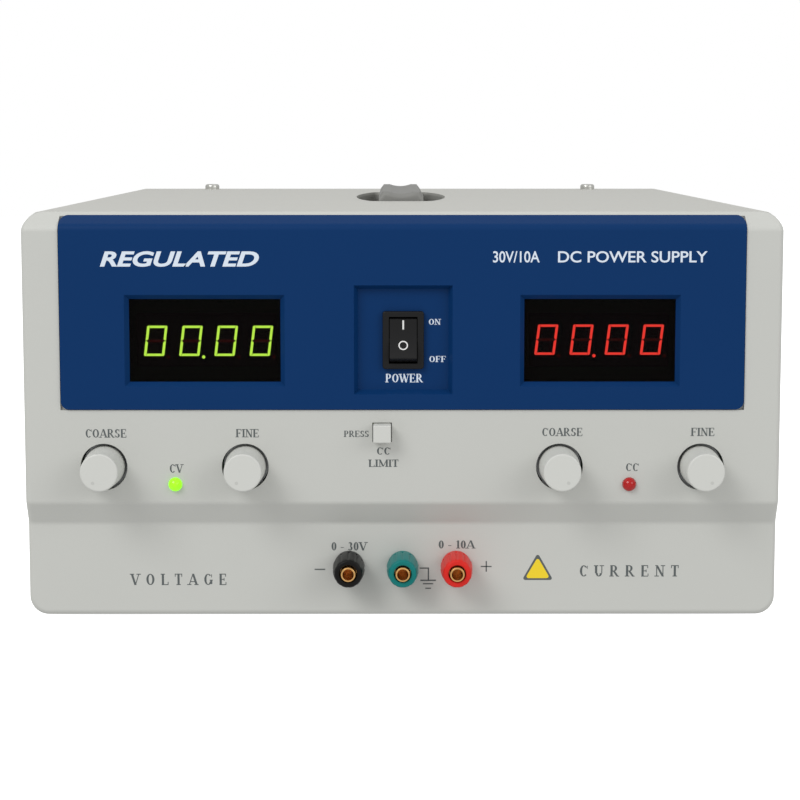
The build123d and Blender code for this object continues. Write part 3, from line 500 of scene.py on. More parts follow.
def prism(shape, outline, low_y, high_y):
    """Adds a flat outline, given as x and z pairs in metres, made solid between two depths."""
    rings = [[shape.verts.new((x, y, z)) for x, z in outline] for y in (low_y, high_y)]
    count = len(outline)
    shape.faces.new(rings[0])
    shape.faces.new(list(reversed(rings[1])))
    for i in range(count):
        j = (i + 1) % count
        shape.faces.new((rings[0][j], rings[0][i], rings[1][i], rings[1][j]))


def turned(shape, centre, profile, sides=48):
    """Adds a solid of revolution: profile holds radius and depth pairs from one end to the other."""
    rings = []
    for radius, depth in profile:
        ring = []
        for i in range(sides):
            angle = 2 * math.pi * i / sides
            across, up = radius * math.cos(angle), radius * math.sin(angle)
            ring.append(shape.verts.new(centre + Vector((across, depth, up))))
        rings.append(ring)
    for near, far in zip(rings, rings[1:]):
        for i in range(sides):
            j = (i + 1) % sides
            shape.faces.new((near[i], near[j], far[j], far[i]))
    shape.faces.new(rings[0])
    shape.faces.new(list(reversed(rings[-1])))
    bmesh.ops.recalc_face_normals(shape, faces=shape.faces)


def fluted(shape, centre, profile, flutes=12, sides=144):
    """Adds a ring of revolution from radius, depth and flute depth, all in millimetres."""
    rings = []
    for radius, depth, groove in profile:
        ring = []
        for i in range(sides):
            angle = 2 * math.pi * i / sides
            wave = max(0.0, math.cos(flutes * angle)) ** 2
            reach = (radius - groove * wave) * MM
            spot = Vector((reach * math.cos(angle), depth * MM, reach * math.sin(angle)))
            ring.append(shape.verts.new(centre + spot))
        rings.append(ring)
    for near, far in zip(rings, rings[1:] + rings[:1]):
        for i in range(sides):
            j = (i + 1) % sides
            shape.faces.new((near[i], near[j], far[j], far[i]))
    bmesh.ops.recalc_face_normals(shape, faces=shape.faces)


def wire_ring(shape, centre, radius, thick, sides=72, around=10):
    """Adds a closed ring of round wire, square to the depth axis."""
    rings = []
    for i in range(sides):
        angle = 2 * math.pi * i / sides
        out = Vector((math.cos(angle), 0, math.sin(angle)))
        ring = []
        for k in range(around):
            turn = 2 * math.pi * k / around
            step = out * (radius + thick * math.cos(turn)) + Vector((0, thick * math.sin(turn), 0))
            ring.append(shape.verts.new(centre + step))
        rings.append(ring)
    for i in range(sides):
        near, far = rings[i], rings[(i + 1) % sides]
        for k in range(around):
            m = (k + 1) % around
            shape.faces.new((near[k], near[m], far[m], far[k]))


def wire_rod(shape, start, end, thick, around=10):
    """Adds a straight rod of round wire with closed ends."""
    along = (end - start).normalized()
    side = along.orthogonal().normalized()
    other = along.cross(side)
    rings = []
    for spot in (start, end):
        ring = []
        for k in range(around):
            turn = 2 * math.pi * k / around
            step = side * thick * math.cos(turn) + other * thick * math.sin(turn)
            ring.append(shape.verts.new(spot + step))
        rings.append(ring)
    for k in range(around):
        m = (k + 1) % around
        shape.faces.new((rings[0][k], rings[0][m], rings[1][m], rings[1][k]))
    shape.faces.new(list(reversed(rings[0])))
    shape.faces.new(rings[1])


# ---------------------------------------------------------------- the pieces
# radius, depth behind the upper face and flute depth, from the back of a grip round to its bore
GRIP_PROFILE = [
    (5.4, 2.2, 0.3), (5.75, 1.6, 0.45), (5.85, 0.8, 0.5), (5.85, -1.0, 0.5),
    (5.8, -3.5, 0.45), (5.65, -6.0, 0.4),
    (5.45, -8.5, 0.3), (5.25, -10.2, 0.15), (5.05, -11.0, 0.05), (4.75, -11.5, 0.0), (4.4, -11.7, 0.0),
    (3.55, -11.7, 0.0), (3.2, -11.5, 0.0), (3.1, -9.5, 0.0), (3.0, -9.4, 0.0), (3.0, -4.8, 0.0),
    (3.8, -4.75, 0.0), (3.8, 2.2, 0.0),
]
FINISHES = {}


def build_case():
    soften("front_bezel", "bezel_moulding", FINISHES["bezel"], width=0.3)
    soften("top_cover", "folded_cover", FINISHES["cover"], width=0.2)
    soften("rear_panel", "back_plate", FINISHES["cover"], width=0.2)
    soften("chassis_pan", "bottom_pan", FINISHES["steel"], width=0.2)


def build_fascia():
    soften("blue_fascia", "fascia_panel", FINISHES["fascia"], width=0.45, segments=3)


def build_read_outs():
    for side in ("voltage", "current"):
        soften(side + "_window", side + "_lens", FINISHES["window"], width=0.15)
        dress(side + "_display", FINISHES["digit_bed"])
    dress("front_board", FINISHES["board"])
    left_edges = [-94.2 + 12.83 * i for i in range(4)]
    right_edges = [48.1 + 12.83 * i for i in range(4)]
    lay_digits("voltage", left_edges, 96.0)
    lay_digits("current", right_edges, 96.4)


def segment_outlines(width, height, bar, post, gap):
    """Outlines of one digit's segments, lower left corner at 0, 0."""
    half = height / 2
    cut = 0.35 * post
    lower_left = [(0, cut), (cut, 0), (post - cut * 0.6, 0), (post, bar), (post, half - gap - bar * 0.5),
                  (post * 0.5, half - gap), (0, half - gap)]
    upper_left = [(x, height - y) for x, y in lower_left]
    lower_right = [(width - x, y) for x, y in lower_left]
    upper_right = [(width - x, height - y) for x, y in lower_left]
    inner_low, inner_high = post + gap, width - post - gap
    bottom = [(inner_low - 0.3 * bar, 0), (inner_high + 0.3 * bar, 0), (inner_high, bar), (inner_low, bar)]
    top = [(x, height - y) for x, y in bottom]
    middle = [(inner_low, half - bar / 2), (inner_high, half - bar / 2), (inner_high + bar / 2, half),
              (inner_high, half + bar / 2), (inner_low, half + bar / 2), (inner_low - bar / 2, half)]
    return {"lit": [lower_left, upper_left, lower_right, upper_right, bottom, top], "unlit": [middle]}


def anticlockwise(outline):
    area = sum(a[0] * b[1] - b[0] * a[1] for a, b in zip(outline, outline[1:] + outline[:1]))
    return outline if area > 0 else list(reversed(outline))


def lay_digits(side, left_edges, base):
    """Four slanted noughts with their points, on the display's bed."""
    settings = bpy.context.scene.psu_display
    lean = math.tan(settings.slant)
    outlines = segment_outlines(settings.digit_width / MM, settings.digit_height / MM, 0.82, 0.9, 0.16)
    front, back = FACE_Y + 5.92 * MM, FACE_Y + 6.35 * MM
    shapes = {"lit": bmesh.new(), "unlit": bmesh.new()}
    for number, left in enumerate(left_edges):
        for state, group in outlines.items():
            for outline in group:
                placed = [
                    ((left + u + v * lean) * MM, BASE_Z + (base + v) * MM) for u, v in anticlockwise(outline)
                ]
                prism(shapes[state], placed, front, back)
        spot = (left + settings.digit_width / MM + 1.55, base - 0.35)
        turns = [t * math.pi / 8 for t in range(16)]
        dot = [
            ((spot[0] + POINT_R * math.cos(t)) * MM, BASE_Z + (spot[1] + POINT_R * math.sin(t)) * MM)
            for t in turns
        ]
        prism(shapes["lit" if number == 1 else "unlit"], dot, front, back)
    piece(side + "_segments_lit", shapes["lit"], FINISHES[side + "_lit"], smooth=False)
    piece(side + "_segments_unlit", shapes["unlit"], FINISHES["unlit"], smooth=False)


def build_switch():
    soften("power_switch_body", "switch_frame", FINISHES["switch"], width=0.2)
    soften("power_rocker", "rocker_paddle", FINISHES["switch"], "power_rocker", width=0.25)
    centre = point(0.3, 2.9, 102.2)
    tilt = math.radians(-10)
    half_angle = math.atan2(1.4, 7.15)
    marks = (("rocker_mark_on", tilt + half_angle, 5.2), ("rocker_mark_off", tilt - half_angle, -2.35))
    for name, lean, reach in marks:
        shape = bmesh.new()
        if name == "rocker_mark_on":
            bar = [(-0.3, -1.65), (0.3, -1.65), (0.3, 1.65), (-0.3, 1.65)]
            prism(shape, [(x * MM, z * MM) for x, z in bar], -0.04 * MM, 0.03 * MM)
        else:
            flat_ring(shape, 1.3 * MM, 1.72 * MM, -0.04 * MM, 0.03 * MM)
        # the paddle's front falls away on both sides of its middle line
        valley = Vector((0, -2.4 * math.cos(tilt), -2.4 * math.sin(tilt))) * MM
        along = Vector((0, -math.sin(lean), math.cos(lean))) * reach * MM
        place = Matrix.Translation(centre + valley + along) @ Matrix.Rotation(lean, 4, "X")
        bmesh.ops.transform(shape, matrix=place, verts=shape.verts)
        piece(name, shape, FINISHES["mark_ink"], "power_rocker", smooth=False)


def flat_ring(shape, inner, outer, low_y, high_y, sides=40):
    """Adds a flat ring facing the front, with square edges."""
    corners = [(inner, low_y), (outer, low_y), (outer, high_y), (inner, high_y)]
    loops = []
    for i in range(sides):
        angle = 2 * math.pi * i / sides
        loops.append([shape.verts.new((r * math.cos(angle), y, r * math.sin(angle))) for r, y in corners])
    for i in range(sides):
        near, far = loops[i], loops[(i + 1) % sides]
        for k in range(4):
            m = (k + 1) % 4
            shape.faces.new((near[k], far[k], far[m], near[m]))
    bmesh.ops.recalc_face_normals(shape, faces=shape.faces)


def build_controls():
    for knob in KNOBS:
        low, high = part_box(knob + "_knob")
        centre = Vector(((low.x + high.x) / 2, 0, (low.z + high.z) / 2))
        front = low.y + 0.04 * MM
        profile = [(0.4 * MM, front), (4.0 * MM, front), (6.2 * MM, front), (6.5 * MM, front + 0.06 * MM),
                   (6.72 * MM, front + 0.22 * MM), (6.82 * MM, front + 0.55 * MM),
                   (6.86 * MM, front + 1.0 * MM),
                   (7.4 * MM, FACE_Y), (7.45 * MM, high.y)]
        shape = bmesh.new()
        turned(shape, centre, profile, sides=96)
        piece(knob + "_dial", shape, FINISHES["knob"], knob + "_control", (knob + "_knob",))
        swing = math.radians(211 if knob.startswith("voltage") else 149)
        mark = centre + Vector((math.sin(swing), 0, math.cos(swing))) * 4.3 * MM
        dot = bmesh.new()
        turned(dot, mark, [(0.62 * MM, front - 0.03 * MM), (0.62 * MM, front + 0.2 * MM)], sides=24)
        piece(knob + "_dot", dot, FINISHES["knob_dot"], knob + "_control", smooth=False)
        dress(knob + "_shaft", FINISHES["steel"])
    dress("potentiometers", FINISHES["steel"])
    soften("limit_button", "push_button", FINISHES["knob"], "limit_button", width=0.25)
    dress("limit_switch", FINISHES["black"])


def build_lamps():
    for side, slot in (("cv", "green_lens"), ("cc", "red_lens")):
        low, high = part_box(side + "_led")
        radius = 2.5 * MM
        centre = Vector(((low.x + high.x) / 2, 0, (low.z + high.z) / 2))
        turns = [t * math.pi / 24 for t in range(1, 13)]
        dome = [(radius * math.sin(t), FACE_Y - radius * math.cos(t)) for t in turns]
        body = [(radius, FACE_Y + 3.8 * MM), (2.95 * MM, FACE_Y + 4.0 * MM), (2.95 * MM, FACE_Y + 5.0 * MM)]
        shape = bmesh.new()
        turned(shape, centre, dome + body, sides=40)
        piece(side + "_lamp", shape, FINISHES[side + "_lamp"], replaced=(side + "_led",))


def build_posts():
    for post in POSTS:
        low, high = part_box(post + "_cap")
        centre = Vector(((low.x + high.x) / 2, FACE_Y, (low.z + high.z) / 2))
        shape = bmesh.new()
        fluted(shape, centre, GRIP_PROFILE)
        piece(post + "_grip", shape, FINISHES[post], post + "_cap", (post + "_cap",))
        soften(post + "_collar", post + "_seat", FINISHES[post], width=0.15)
        dress(post + "_insert", FINISHES["brass"])
    dress("post_studs", FINISHES["brass"])
    dress("post_nuts", FINISHES["nickel"])


def build_handle():
    soften("handle_tray", "handle_pocket", FINISHES["pocket"], width=0.4)
    soften(
        "carry_handle", "handle_grip", FINISHES["handle"], "carry_handle",
        width=0.8, segments=4,
    )


def build_feet_and_screws():
    soften("feet", "rubber_feet", FINISHES["rubber"], width=0.3)
    dress("m4_screws", FINISHES["nickel"])
    dress("m3_screws", FINISHES["nickel"])


def build_rear():
    soften("mains_inlet", "inlet_socket", FINISHES["black"], width=0.2)
    soften("fuse_holder", "fuse_body", FINISHES["black"], width=0.2)
    soften("fuse_cap", "fuse_knob", FINISHES["black"], "fuse_cap", width=0.2)
    soften("voltage_selector", "selector_body", FINISHES["black"], width=0.2)
    soften(
        "selector_slider", "selector_slide", FINISHES["red_slider"], "selector_slider",
        width=0.2,
    )
    dress("fuse", FINISHES["fuse"])
    soften("fan_frame", "fan_housing", FINISHES["black"], width=0.3)
    soften("fan_rotor", "fan_impeller", FINISHES["black"], "fan_rotor", width=0.2)
    low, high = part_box("fan_guard")
    centre = (low + high) / 2
    centre.y = high.y - 0.8 * MM
    shape = bmesh.new()
    for radius in (39.0, 30.0, 21.0, 12.0):
        wire_ring(shape, centre, radius * MM, 0.78 * MM)
    for i in range(4):
        out = Vector((math.cos(math.pi * (i + 0.5) / 2), 0, math.sin(math.pi * (i + 0.5) / 2)))
        wire_rod(shape, centre + out * 11.6 * MM, centre + out * 47.0 * MM, 0.75 * MM)
        lug = centre + out * 50.5 * MM
        wire_ring(shape, lug, 3.3 * MM, 0.75 * MM, sides=32)
    piece("wire_guard", shape, FINISHES["nickel"], replaced=("fan_guard",))


def build_inside():
    finishes = {
        "transformer_core": "core", "transformer_winding": "winding", "transformer_bracket": "steel",
        "main_board": "board", "standoffs": "nickel", "filter_capacitors": "capacitor",
        "board_components": "black", "heat_sink": "aluminium", "power_transistors": "black",
    }
    for node, finish in finishes.items():
        dress(node, FINISHES[finish])


def lettering(name, words, across, up, face_y, finish, weight=0.0, slope=0.0, spacing=1.0):
    """Raised ink lettering that fills the given ranges, in millimetres."""
    scene = bpy.context.scene
    curve = bpy.data.curves.new(name + "_line", "FONT")
    curve.body = words
    curve.space_character = spacing
    curve.offset = weight
    curve.shear = slope
    curve.extrude = 0.1
    curve.resolution_u = 5
    holder = bpy.data.objects.new(name + "_line", curve)
    scene.collection.objects.link(holder)
    bpy.context.view_layer.update()
    mesh = bpy.data.meshes.new_from_object(holder.evaluated_get(bpy.context.evaluated_depsgraph_get()))
    bpy.data.objects.remove(holder)
    bpy.data.curves.remove(curve)
    shape = bmesh.new()
    shape.from_mesh(mesh)
    bpy.data.meshes.remove(mesh)
    bmesh.ops.remove_doubles(shape, verts=shape.verts, dist=1e-5)
    places = [vert.co for vert in shape.verts]
    low = [min(spot[k] for spot in places) for k in range(3)]
    high = [max(spot[k] for spot in places) for k in range(3)]
    relief = scene.psu_legend.relief
    for vert in shape.verts:
        share = [(vert.co[k] - low[k]) / (high[k] - low[k]) for k in range(3)]
        vert.co = (
            (across[0] + share[0] * (across[1] - across[0])) * MM,
            face_y + 0.02 * MM - share[2] * (relief + 0.02 * MM),
            BASE_Z + (up[0] + share[1] * (up[1] - up[0])) * MM,
        )
    return piece(name, shape, finish, smooth=False)


# Each letter's width and its strokes, in a box one unit high. A stroke is a kind and its numbers:
# s stem: x, low, high and width; d slanted line: both ends and width; a width left out is STEM
# b thin bar: left, right, height; f foot or head serif: x, height
# o part of an oval: centre, half width, half height, first and last angle
LETTERS = {
    "A": (0.74, "d0.06,0,0.37,1,0.07 d0.37,1,0.66,0 b0.18,0.56,0.3 f0.06,0 f0.64,0"),
    "C": (0.70, "o0.37,0.5,0.30,0.5,45,315 b0.54,0.64,0.83 s0.63,0.68,0.96,0.05"),
    "E": (0.66, "s0.16,0,1 b0.06,0.58,0.03 b0.06,0.56,0.97 b0.18,0.44,0.5 s0.58,0.03,0.26,0.06 "
                "s0.55,0.74,0.97,0.06 s0.43,0.38,0.62,0.06"),
    "F": (0.62, "s0.16,0,1 f0.16,0 b0.06,0.56,0.97 b0.18,0.44,0.5 s0.55,0.74,0.97,0.06 s0.43,0.38,0.62,0.06"),
    "G": (0.76, "o0.38,0.5,0.31,0.5,45,330 s0.62,0.08,0.42,0.16 b0.5,0.74,0.43 s0.65,0.68,0.96,0.05"),
    "I": (0.36, "s0.18,0,1 f0.18,0 f0.18,1"),
    "L": (0.62, "s0.16,0,1 f0.16,1 b0.06,0.58,0.03 s0.57,0.03,0.28,0.06"),
    "M": (0.92, "s0.12,0,1,0.07 s0.79,0,1 d0.12,1,0.45,0.06 d0.45,0.06,0.79,1,0.07 f0.12,0 f0.79,0 "
                "b0.02,0.2,0.97 b0.76,0.9,0.97"),
    "N": (0.74, "s0.13,0,1,0.07 s0.61,0,1,0.07 d0.13,1,0.61,0 f0.13,0 f0.61,1 b0.02,0.2,0.97"),
    "O": (0.76, "o0.38,0.5,0.32,0.5,0,360"),
    "P": (0.64, "s0.16,0,1 f0.16,0 b0.06,0.36,0.97 b0.18,0.36,0.47 o0.34,0.72,0.24,0.28,-90,90"),
    "R": (0.74, "s0.16,0,1 f0.16,0 b0.06,0.36,0.97 b0.18,0.36,0.49 o0.34,0.73,0.24,0.27,-90,90 "
                "d0.33,0.49,0.63,0 b0.56,0.74,0.03"),
    "S": (0.58, "o0.28,0.74,0.22,0.26,30,270 o0.30,0.25,0.23,0.25,-150,90 s0.47,0.7,0.97,0.05 "
                "s0.08,0.03,0.3,0.05"),
    "T": (0.66, "s0.33,0,1 f0.33,0 b0.04,0.62,0.97 s0.07,0.74,0.97,0.06 s0.59,0.74,0.97,0.06"),
    "U": (0.74, "s0.16,0.3,1 s0.6,0.3,1,0.07 o0.37,0.3,0.24,0.3,180,360 f0.16,1 f0.6,1"),
    "V": (0.74, "d0.1,1,0.38,0 d0.38,0,0.66,1,0.07 f0.11,1 f0.64,1"),
    "W": (1.04, "d0.1,1,0.33,0 d0.33,0,0.54,0.9,0.07 d0.5,1,0.73,0 d0.73,0,0.95,1,0.07 f0.11,1 f0.93,1"),
    "0": (0.52, "o0.26,0.5,0.22,0.5,0,360"),
    "1": (0.42, "s0.24,0,1,0.16 f0.24,0 d0.1,0.84,0.24,0.97,0.07"),
    "3": (0.50, "o0.23,0.75,0.18,0.25,-90,150 o0.22,0.27,0.22,0.27,-150,90"),
    "-": (0.36, "b0.04,0.32,0.36"),
    " ": (0.30, ""),
}
STEM = 0.17
HAIRLINE = 0.075


def stroke_outlines(strokes):
    """The flat outlines that make up one letter."""
    outlines = []
    for stroke in strokes.split():
        kind, numbers = stroke[0], [float(part) for part in stroke[1:].split(",")]
        if kind == "s":
            x, low, high, wide = (*numbers, STEM)[:4]
            left, right = x - wide / 2, x + wide / 2
            outlines.append([(left, low), (right, low), (right, high), (left, high)])
        elif kind == "b":
            left, right, height = numbers
            low, high = height - HAIRLINE / 2, height + HAIRLINE / 2
            outlines.append([(left, low), (right, low), (right, high), (left, high)])
        elif kind == "f":
            x, height = numbers
            low, high = (0, HAIRLINE) if height < 0.5 else (1 - HAIRLINE, 1)
            outlines.append([(x - STEM, low), (x + STEM, low), (x + STEM, high), (x - STEM, high)])
        elif kind == "d":
            x0, y0, x1, y1, wide = (*numbers, STEM)[:5]
            half = wide / 2
            outlines.append([(x0 - half, y0), (x0 + half, y0), (x1 + half, y1), (x1 - half, y1)])
        else:
            outlines += bowl_outlines(*numbers)
    return outlines


def bowl_outlines(x, y, across, up, start, stop, steps=20):
    """Part of an oval ring, thick at its sides and thin at its top and bottom."""
    count = max(2, round(steps * (stop - start) / 360))
    edges = []
    for k in range(count + 1):
        angle = math.radians(start + (stop - start) * k / count)
        outer = (x + across * math.cos(angle), y + up * math.sin(angle))
        inner = (x + (across - STEM) * math.cos(angle), y + (up - HAIRLINE) * math.sin(angle))
        edges.append((outer, inner))
    return [[near[1], near[0], far[0], far[1]] for near, far in zip(edges, edges[1:])]


def serif(name, words, across, up, face_y, finish, spacing=0.0):
    """Serif lettering, laid stroke by stroke to fill the given ranges, in millimetres."""
    widths = [LETTERS[letter][0] for letter in words]
    full = sum(widths) + spacing * (len(words) - 1)
    wide, tall = (across[1] - across[0]) / full, up[1] - up[0]
    relief = bpy.context.scene.psu_legend.relief
    shape = bmesh.new()
    start = 0.0
    for letter, width in zip(words, widths):
        for count, outline in enumerate(stroke_outlines(LETTERS[letter][1])):
            placed = [
                ((across[0] + (start + u) * wide) * MM, BASE_Z + (up[0] + v * tall) * MM)
                for u, v in anticlockwise(outline)
            ]
            prism(shape, placed, face_y - relief - (count % 7) * 0.001 * MM, face_y + 0.02 * MM)
        start += width + spacing
    return piece(name, shape, finish, smooth=False)


def build_legends():
    dark, light = FINISHES["dark_ink"], FINISHES["light_ink"]
    upper = [
        ("legend_regulated", "REGULATED", (-108.9, -51.6), (128.9, 134.5), 0.03, 0.25),
        ("legend_rating", "30V/10A", (32.6, 49.4), (130.4, 134.5), 0.012, 0.0),
        ("legend_supply", "DC POWER SUPPLY", (56.0, 109.8), (130.4, 134.5), 0.012, 0.0),
    ]
    for name, words, across, up, weight, slope in upper:
        lettering(name, words, across, up, FASCIA_Y, light, weight, slope)
    for name, words, across, up in (
        ("legend_on", "ON", (9.4, 13.9), (107.7, 109.8)),
        ("legend_off", "OFF", (9.6, 15.9), (94.1, 96.3)),
        ("legend_power", "POWER", (-6.2, 7.5), (86.7, 89.8)),
    ):
        serif(name, words, across, up, DISH_Y, light)
    for name, words, across, up in (
        ("legend_coarse_left", "COARSE", (-115.3, -100.1), (66.8, 69.9)),
        ("legend_fine_left", "FINE", (-60.6, -52.0), (66.9, 69.9)),
        ("legend_cv", "CV", (-84.9, -79.8), (53.9, 57.0)),
        ("legend_press", "PRESS", (-21.3, -12.1), (67.0, 69.3)),
        ("legend_limit_cc", "CC", (-9.5, -4.2), (60.5, 63.2)),
        ("legend_limit", "LIMIT", (-12.4, -1.3), (56.0, 58.7)),
        ("legend_coarse_right", "COARSE", (50.6, 65.6), (67.3, 70.3)),
        ("legend_fine_right", "FINE", (104.8, 113.6), (67.3, 70.3)),
        ("legend_cc", "CC", (81.2, 86.2), (54.4, 57.3)),
    ):
        serif(name, words, across, up, FACE_Y, dark)
    serif("legend_voltage", "VOLTAGE", (-100.1, -64.6), (11.3, 15.5), LOW_FACE_Y, dark, 0.45)
    serif("legend_current", "CURRENT", (65.1, 102.0), (14.4, 18.6), LOW_FACE_Y, dark, 0.45)
    serif("legend_volts", "0 - 30V", (-26.2, -12.9), (24.2, 27.3), LOW_FACE_Y, dark)
    serif("legend_amps", "0 - 10A", (13.2, 26.7), (24.9, 27.9), LOW_FACE_Y, dark)
    draw_symbols(dark)


def ink_bars(name, bars, face_y, finish):
    """Printed bars, each given as low x, high x, low height and high height."""
    shape = bmesh.new()
    for left, right, low, high in bars:
        outline = [(left, low), (right, low), (right, high), (left, high)]
        placed = [(x * MM, BASE_Z + z * MM) for x, z in outline]
        prism(shape, placed, face_y - bpy.context.scene.psu_legend.relief, face_y + 0.02 * MM)
    piece(name, shape, finish, smooth=False)


def draw_symbols(dark):
    ink_bars("symbol_minus", [(-32.3, -28.4, 16.9, 17.35)], LOW_FACE_Y, dark)
    ink_bars("symbol_plus", [(28.9, 32.9, 17.95, 18.4), (30.7, 31.15, 16.2, 20.2)], LOW_FACE_Y, dark)
    ground = [(6.4, 9.85, 17.35, 17.8), (9.35, 9.85, 13.0, 17.4), (6.65, 12.4, 12.75, 13.25),
              (7.6, 11.4, 11.5, 11.95), (8.5, 10.6, 9.8, 10.25)]
    ink_bars("symbol_ground", ground, LOW_FACE_Y, dark)
    layers = (("caution_border", 0.0, 0.0, dark), ("caution_field", 1.0, 0.02, FINISHES["yellow_ink"]))
    for name, grow, lift, finish in layers:
        shape = bmesh.new()
        corners = rounded_triangle(
            44.1 + 1.2 * grow, 55.6 - 1.2 * grow, 13.1 + 0.7 * grow, 23.2 - 1.55 * grow, 0.7
        )
        front = LOW_FACE_Y - bpy.context.scene.psu_legend.relief - lift * MM
        prism(shape, [(x * MM, BASE_Z + z * MM) for x, z in corners], front, LOW_FACE_Y + 0.02 * MM)
        piece(name, shape, finish, smooth=False)


def rounded_triangle(left, right, low, high, radius, steps=6):
    """Outline of a triangle standing on its base, with round corners."""
    corners = [Vector((left, low)), Vector((right, low)), Vector(((left + right) / 2, high))]
    middle = sum(corners, Vector((0, 0))) / 3
    outline = []
    for i, corner in enumerate(corners):
        back = (corners[i - 1] - corner).normalized()
        ahead = (corners[(i + 1) % 3] - corner).normalized()
        half = back.angle(ahead) / 2
        centre = corner + (middle - corner).normalized() * radius / math.sin(half)
        start = corner + back * radius / math.tan(half) - centre
        sweep = math.pi - 2 * half
        for k in range(steps + 1):
            outline.append(tuple(centre + Matrix.Rotation(sweep * k / steps, 2) @ start))
    return outline


# ---------------------------------------------------------------- stage
def area_light(name, place, aim, power, width, height):
    light = bpy.data.lights.new(name, "AREA")
    light.shape = "RECTANGLE"
    light.energy, light.size, light.size_y = power, width, height
    holder = bpy.data.objects.new(name, light)
    holder.location = place
    holder.rotation_euler = (Vector(aim) - Vector(place)).to_track_quat("-Z", "Y").to_euler()
    bpy.context.scene.collection.objects.link(holder)


def build_stage():
    scene = bpy.context.scene
    settings = scene.psu_stage
    half = settings.floor_size / 2
    shape = bmesh.new()
    around = ((-half, -half), (half, -half), (half, half), (-half, half))
    shape.faces.new([shape.verts.new((x, y, 0)) for x, y in around])
    mesh = bpy.data.meshes.new("studio_floor")
    shape.to_mesh(mesh)
    shape.free()
    floor = bpy.data.objects.new("studio_floor", mesh)
    scene.collection.objects.link(floor)
    paper = Finish(
        "studio_paper", {"Roughness": 0.9, "Emission Strength": 0.85, "Emission Color": (1, 1, 1, 1)}
    )
    paper.feed(Base_Color=paper.mix(paper.noise(0.4), (0.86, 0.86, 0.86, 1), (0.88, 0.88, 0.88, 1)))
    mesh.materials.append(paper.material)
    floor.visible_diffuse = False
    floor.visible_glossy = False
    area_light("key_light", (-1.3, -1.7, 1.75), (0, 0, 0.08), settings.key, 1.3, 1.3)
    area_light("fill_light", (1.7, -1.5, 1.0), (0, 0, 0.08), settings.fill, 1.6, 1.2)
    area_light("top_light", (0.1, 0.5, 1.9), (0, 0, 0.1), settings.fill * 0.2, 1.6, 1.6)
    world = bpy.data.worlds.new("studio_room")
    world.use_nodes = True
    tree = world.node_tree
    backdrop = tree.nodes["Background"]
    backdrop.inputs["Color"].default_value = (1, 1, 1, 1)
    backdrop.inputs["Strength"].default_value = settings.sky
    white = tree.nodes.new("ShaderNodeBackground")
    white.inputs["Color"].default_value = (1, 1, 1, 1)
    white.inputs["Strength"].default_value = 1.0
    seen = tree.nodes.new("ShaderNodeLightPath")
    choice = tree.nodes.new("ShaderNodeMixShader")
    tree.links.new(seen.outputs["Is Camera Ray"], choice.inputs[0])
    tree.links.new(backdrop.outputs[0], choice.inputs[1])
    tree.links.new(white.outputs[0], choice.inputs[2])
    tree.links.new(choice.outputs[0], tree.nodes["World Output"].inputs["Surface"])
    scene.world = world
    scene.view_settings.view_transform = "Standard"
    lens = bpy.data.cameras.new("front_camera")
    lens.lens, lens.sensor_width = 100.14, 36.0
    lens.clip_start, lens.clip_end = 0.05, 50.0
    camera = bpy.data.objects.new("front_camera", lens)
    camera.location = (-0.00303, -0.98015, 0.18066)
    camera.rotation_euler = (math.radians(83.232), 0, -0.0027)
    scene.collection.objects.link(camera)
    scene.camera = camera


# ---------------------------------------------------------------- operators
class BuildStep:
    """Shared by the build operators: they all work in object mode."""

    bl_options = {"REGISTER", "UNDO"}


class PSU_OT_finishes(BuildStep, bpy.types.Operator):
    """Mix every finish from the settings"""

    bl_idname = "psu.finishes"
    bl_label = "Finishes"

    def execute(self, context):
        FINISHES.update(make_finishes(context.scene))
        return {"FINISHED"}


class PSU_OT_stage(BuildStep, bpy.types.Operator):
    """Lay the floor and set the lights and the camera"""

    bl_idname = "psu.stage"
    bl_label = "Stage"

    def execute(self, context):
        build_stage()
        return {"FINISHED"}


class PSU_OT_case(BuildStep, bpy.types.Operator):
    """Build the bezel, cover, back plate and bottom pan"""

    bl_idname = "psu.case"
    bl_label = "Case"

    def execute(self, context):
        build_case()
        return {"FINISHED"}


class PSU_OT_fascia(BuildStep, bpy.types.Operator):
    """Build the coloured upper panel"""

    bl_idname = "psu.fascia"
    bl_label = "Fascia"

    def execute(self, context):
        build_fascia()
        return {"FINISHED"}


class PSU_OT_read_outs(BuildStep, bpy.types.Operator):
    """Build the windows, display beds and digits"""

    bl_idname = "psu.read_outs"
    bl_label = "Read-outs"

    def execute(self, context):
        build_read_outs()
        return {"FINISHED"}


class PSU_OT_switch(BuildStep, bpy.types.Operator):
    """Build the rocker switch and its marks"""

    bl_idname = "psu.switch"
    bl_label = "Power switch"

    def execute(self, context):
        build_switch()
        return {"FINISHED"}


class PSU_OT_controls(BuildStep, bpy.types.Operator):
    """Build the knobs and the push button"""

    bl_idname = "psu.controls"
    bl_label = "Controls"

    def execute(self, context):
        build_controls()
        return {"FINISHED"}


class PSU_OT_lamps(BuildStep, bpy.types.Operator):
    """Build the two indicator lamps"""

    bl_idname = "psu.lamps"
    bl_label = "Lamps"

    def execute(self, context):
        build_lamps()
        return {"FINISHED"}


class PSU_OT_posts(BuildStep, bpy.types.Operator):
    """Build the output posts"""

    bl_idname = "psu.posts"
    bl_label = "Output posts"

    def execute(self, context):
        build_posts()
        return {"FINISHED"}


class PSU_OT_legends(BuildStep, bpy.types.Operator):
    """Print the lettering and symbols"""

    bl_idname = "psu.legends"
    bl_label = "Lettering"

    def execute(self, context):
        build_legends()
        return {"FINISHED"}


class PSU_OT_handle(BuildStep, bpy.types.Operator):
    """Build the carrying handle and its pocket"""

    bl_idname = "psu.handle"
    bl_label = "Handle"

    def execute(self, context):
        build_handle()
        return {"FINISHED"}


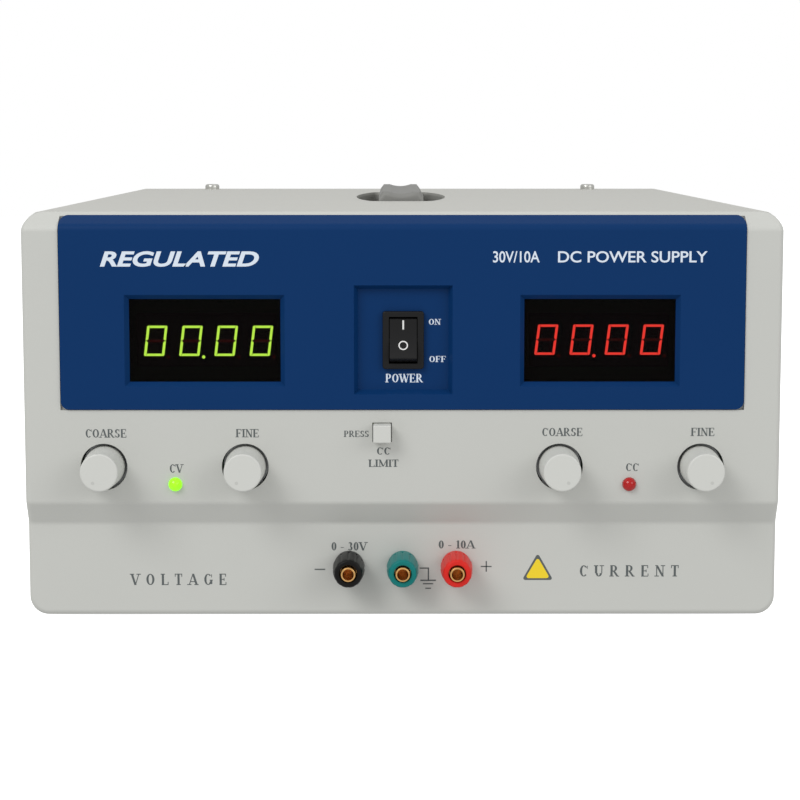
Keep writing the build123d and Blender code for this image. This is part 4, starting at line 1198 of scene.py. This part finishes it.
class PSU_OT_rear(BuildStep, bpy.types.Operator):
    """Build the fan, inlet, fuse and selector"""

    bl_idname = "psu.rear"
    bl_label = "Rear fittings"

    def execute(self, context):
        build_rear()
        return {"FINISHED"}


class PSU_OT_hardware(BuildStep, bpy.types.Operator):
    """Finish the feet and the screws"""

    bl_idname = "psu.hardware"
    bl_label = "Feet and screws"

    def execute(self, context):
        build_feet_and_screws()
        return {"FINISHED"}


class PSU_OT_inside(BuildStep, bpy.types.Operator):
    """Finish what is inside the case"""

    bl_idname = "psu.inside"
    bl_label = "Inside"

    def execute(self, context):
        build_inside()
        return {"FINISHED"}


SETTINGS = {
    "psu_case": CaseSettings,
    "psu_display": DisplaySettings,
    "psu_controls": ControlSettings,
    "psu_legend": LegendSettings,
    "psu_stage": StageSettings,
}
STEPS = (
    PSU_OT_finishes, PSU_OT_stage, PSU_OT_case, PSU_OT_fascia, PSU_OT_read_outs, PSU_OT_switch, PSU_OT_controls,
    PSU_OT_lamps, PSU_OT_posts, PSU_OT_legends, PSU_OT_handle, PSU_OT_rear, PSU_OT_hardware, PSU_OT_inside,
)


class PSU_PT_build(bpy.types.Panel):
    """Lists the build steps and their settings"""

    bl_idname = "PSU_PT_build"
    bl_label = "Power supply"
    bl_space_type = "VIEW_3D"
    bl_region_type = "UI"
    bl_category = "Power supply"

    def draw(self, context):
        for step in STEPS:
            self.layout.operator(step.bl_idname)
        for name, group in SETTINGS.items():
            box = self.layout.box()
            for setting in group.__annotations__:
                box.prop(getattr(context.scene, name), setting)


def register():
    for kind in (*SETTINGS.values(), *STEPS, PSU_PT_build):
        bpy.utils.register_class(kind)
    for name, group in SETTINGS.items():
        setattr(bpy.types.Scene, name, bpy.props.PointerProperty(type=group))


def unregister():
    for name in SETTINGS:
        delattr(bpy.types.Scene, name)
    for kind in reversed((*SETTINGS.values(), *STEPS, PSU_PT_build)):
        bpy.utils.unregister_class(kind)


def main():
    register()
    for step in STEPS:
        family, action = step.bl_idname.split(".")
        getattr(getattr(bpy.ops, family), action)()


if __name__ == "__main__":
    main()
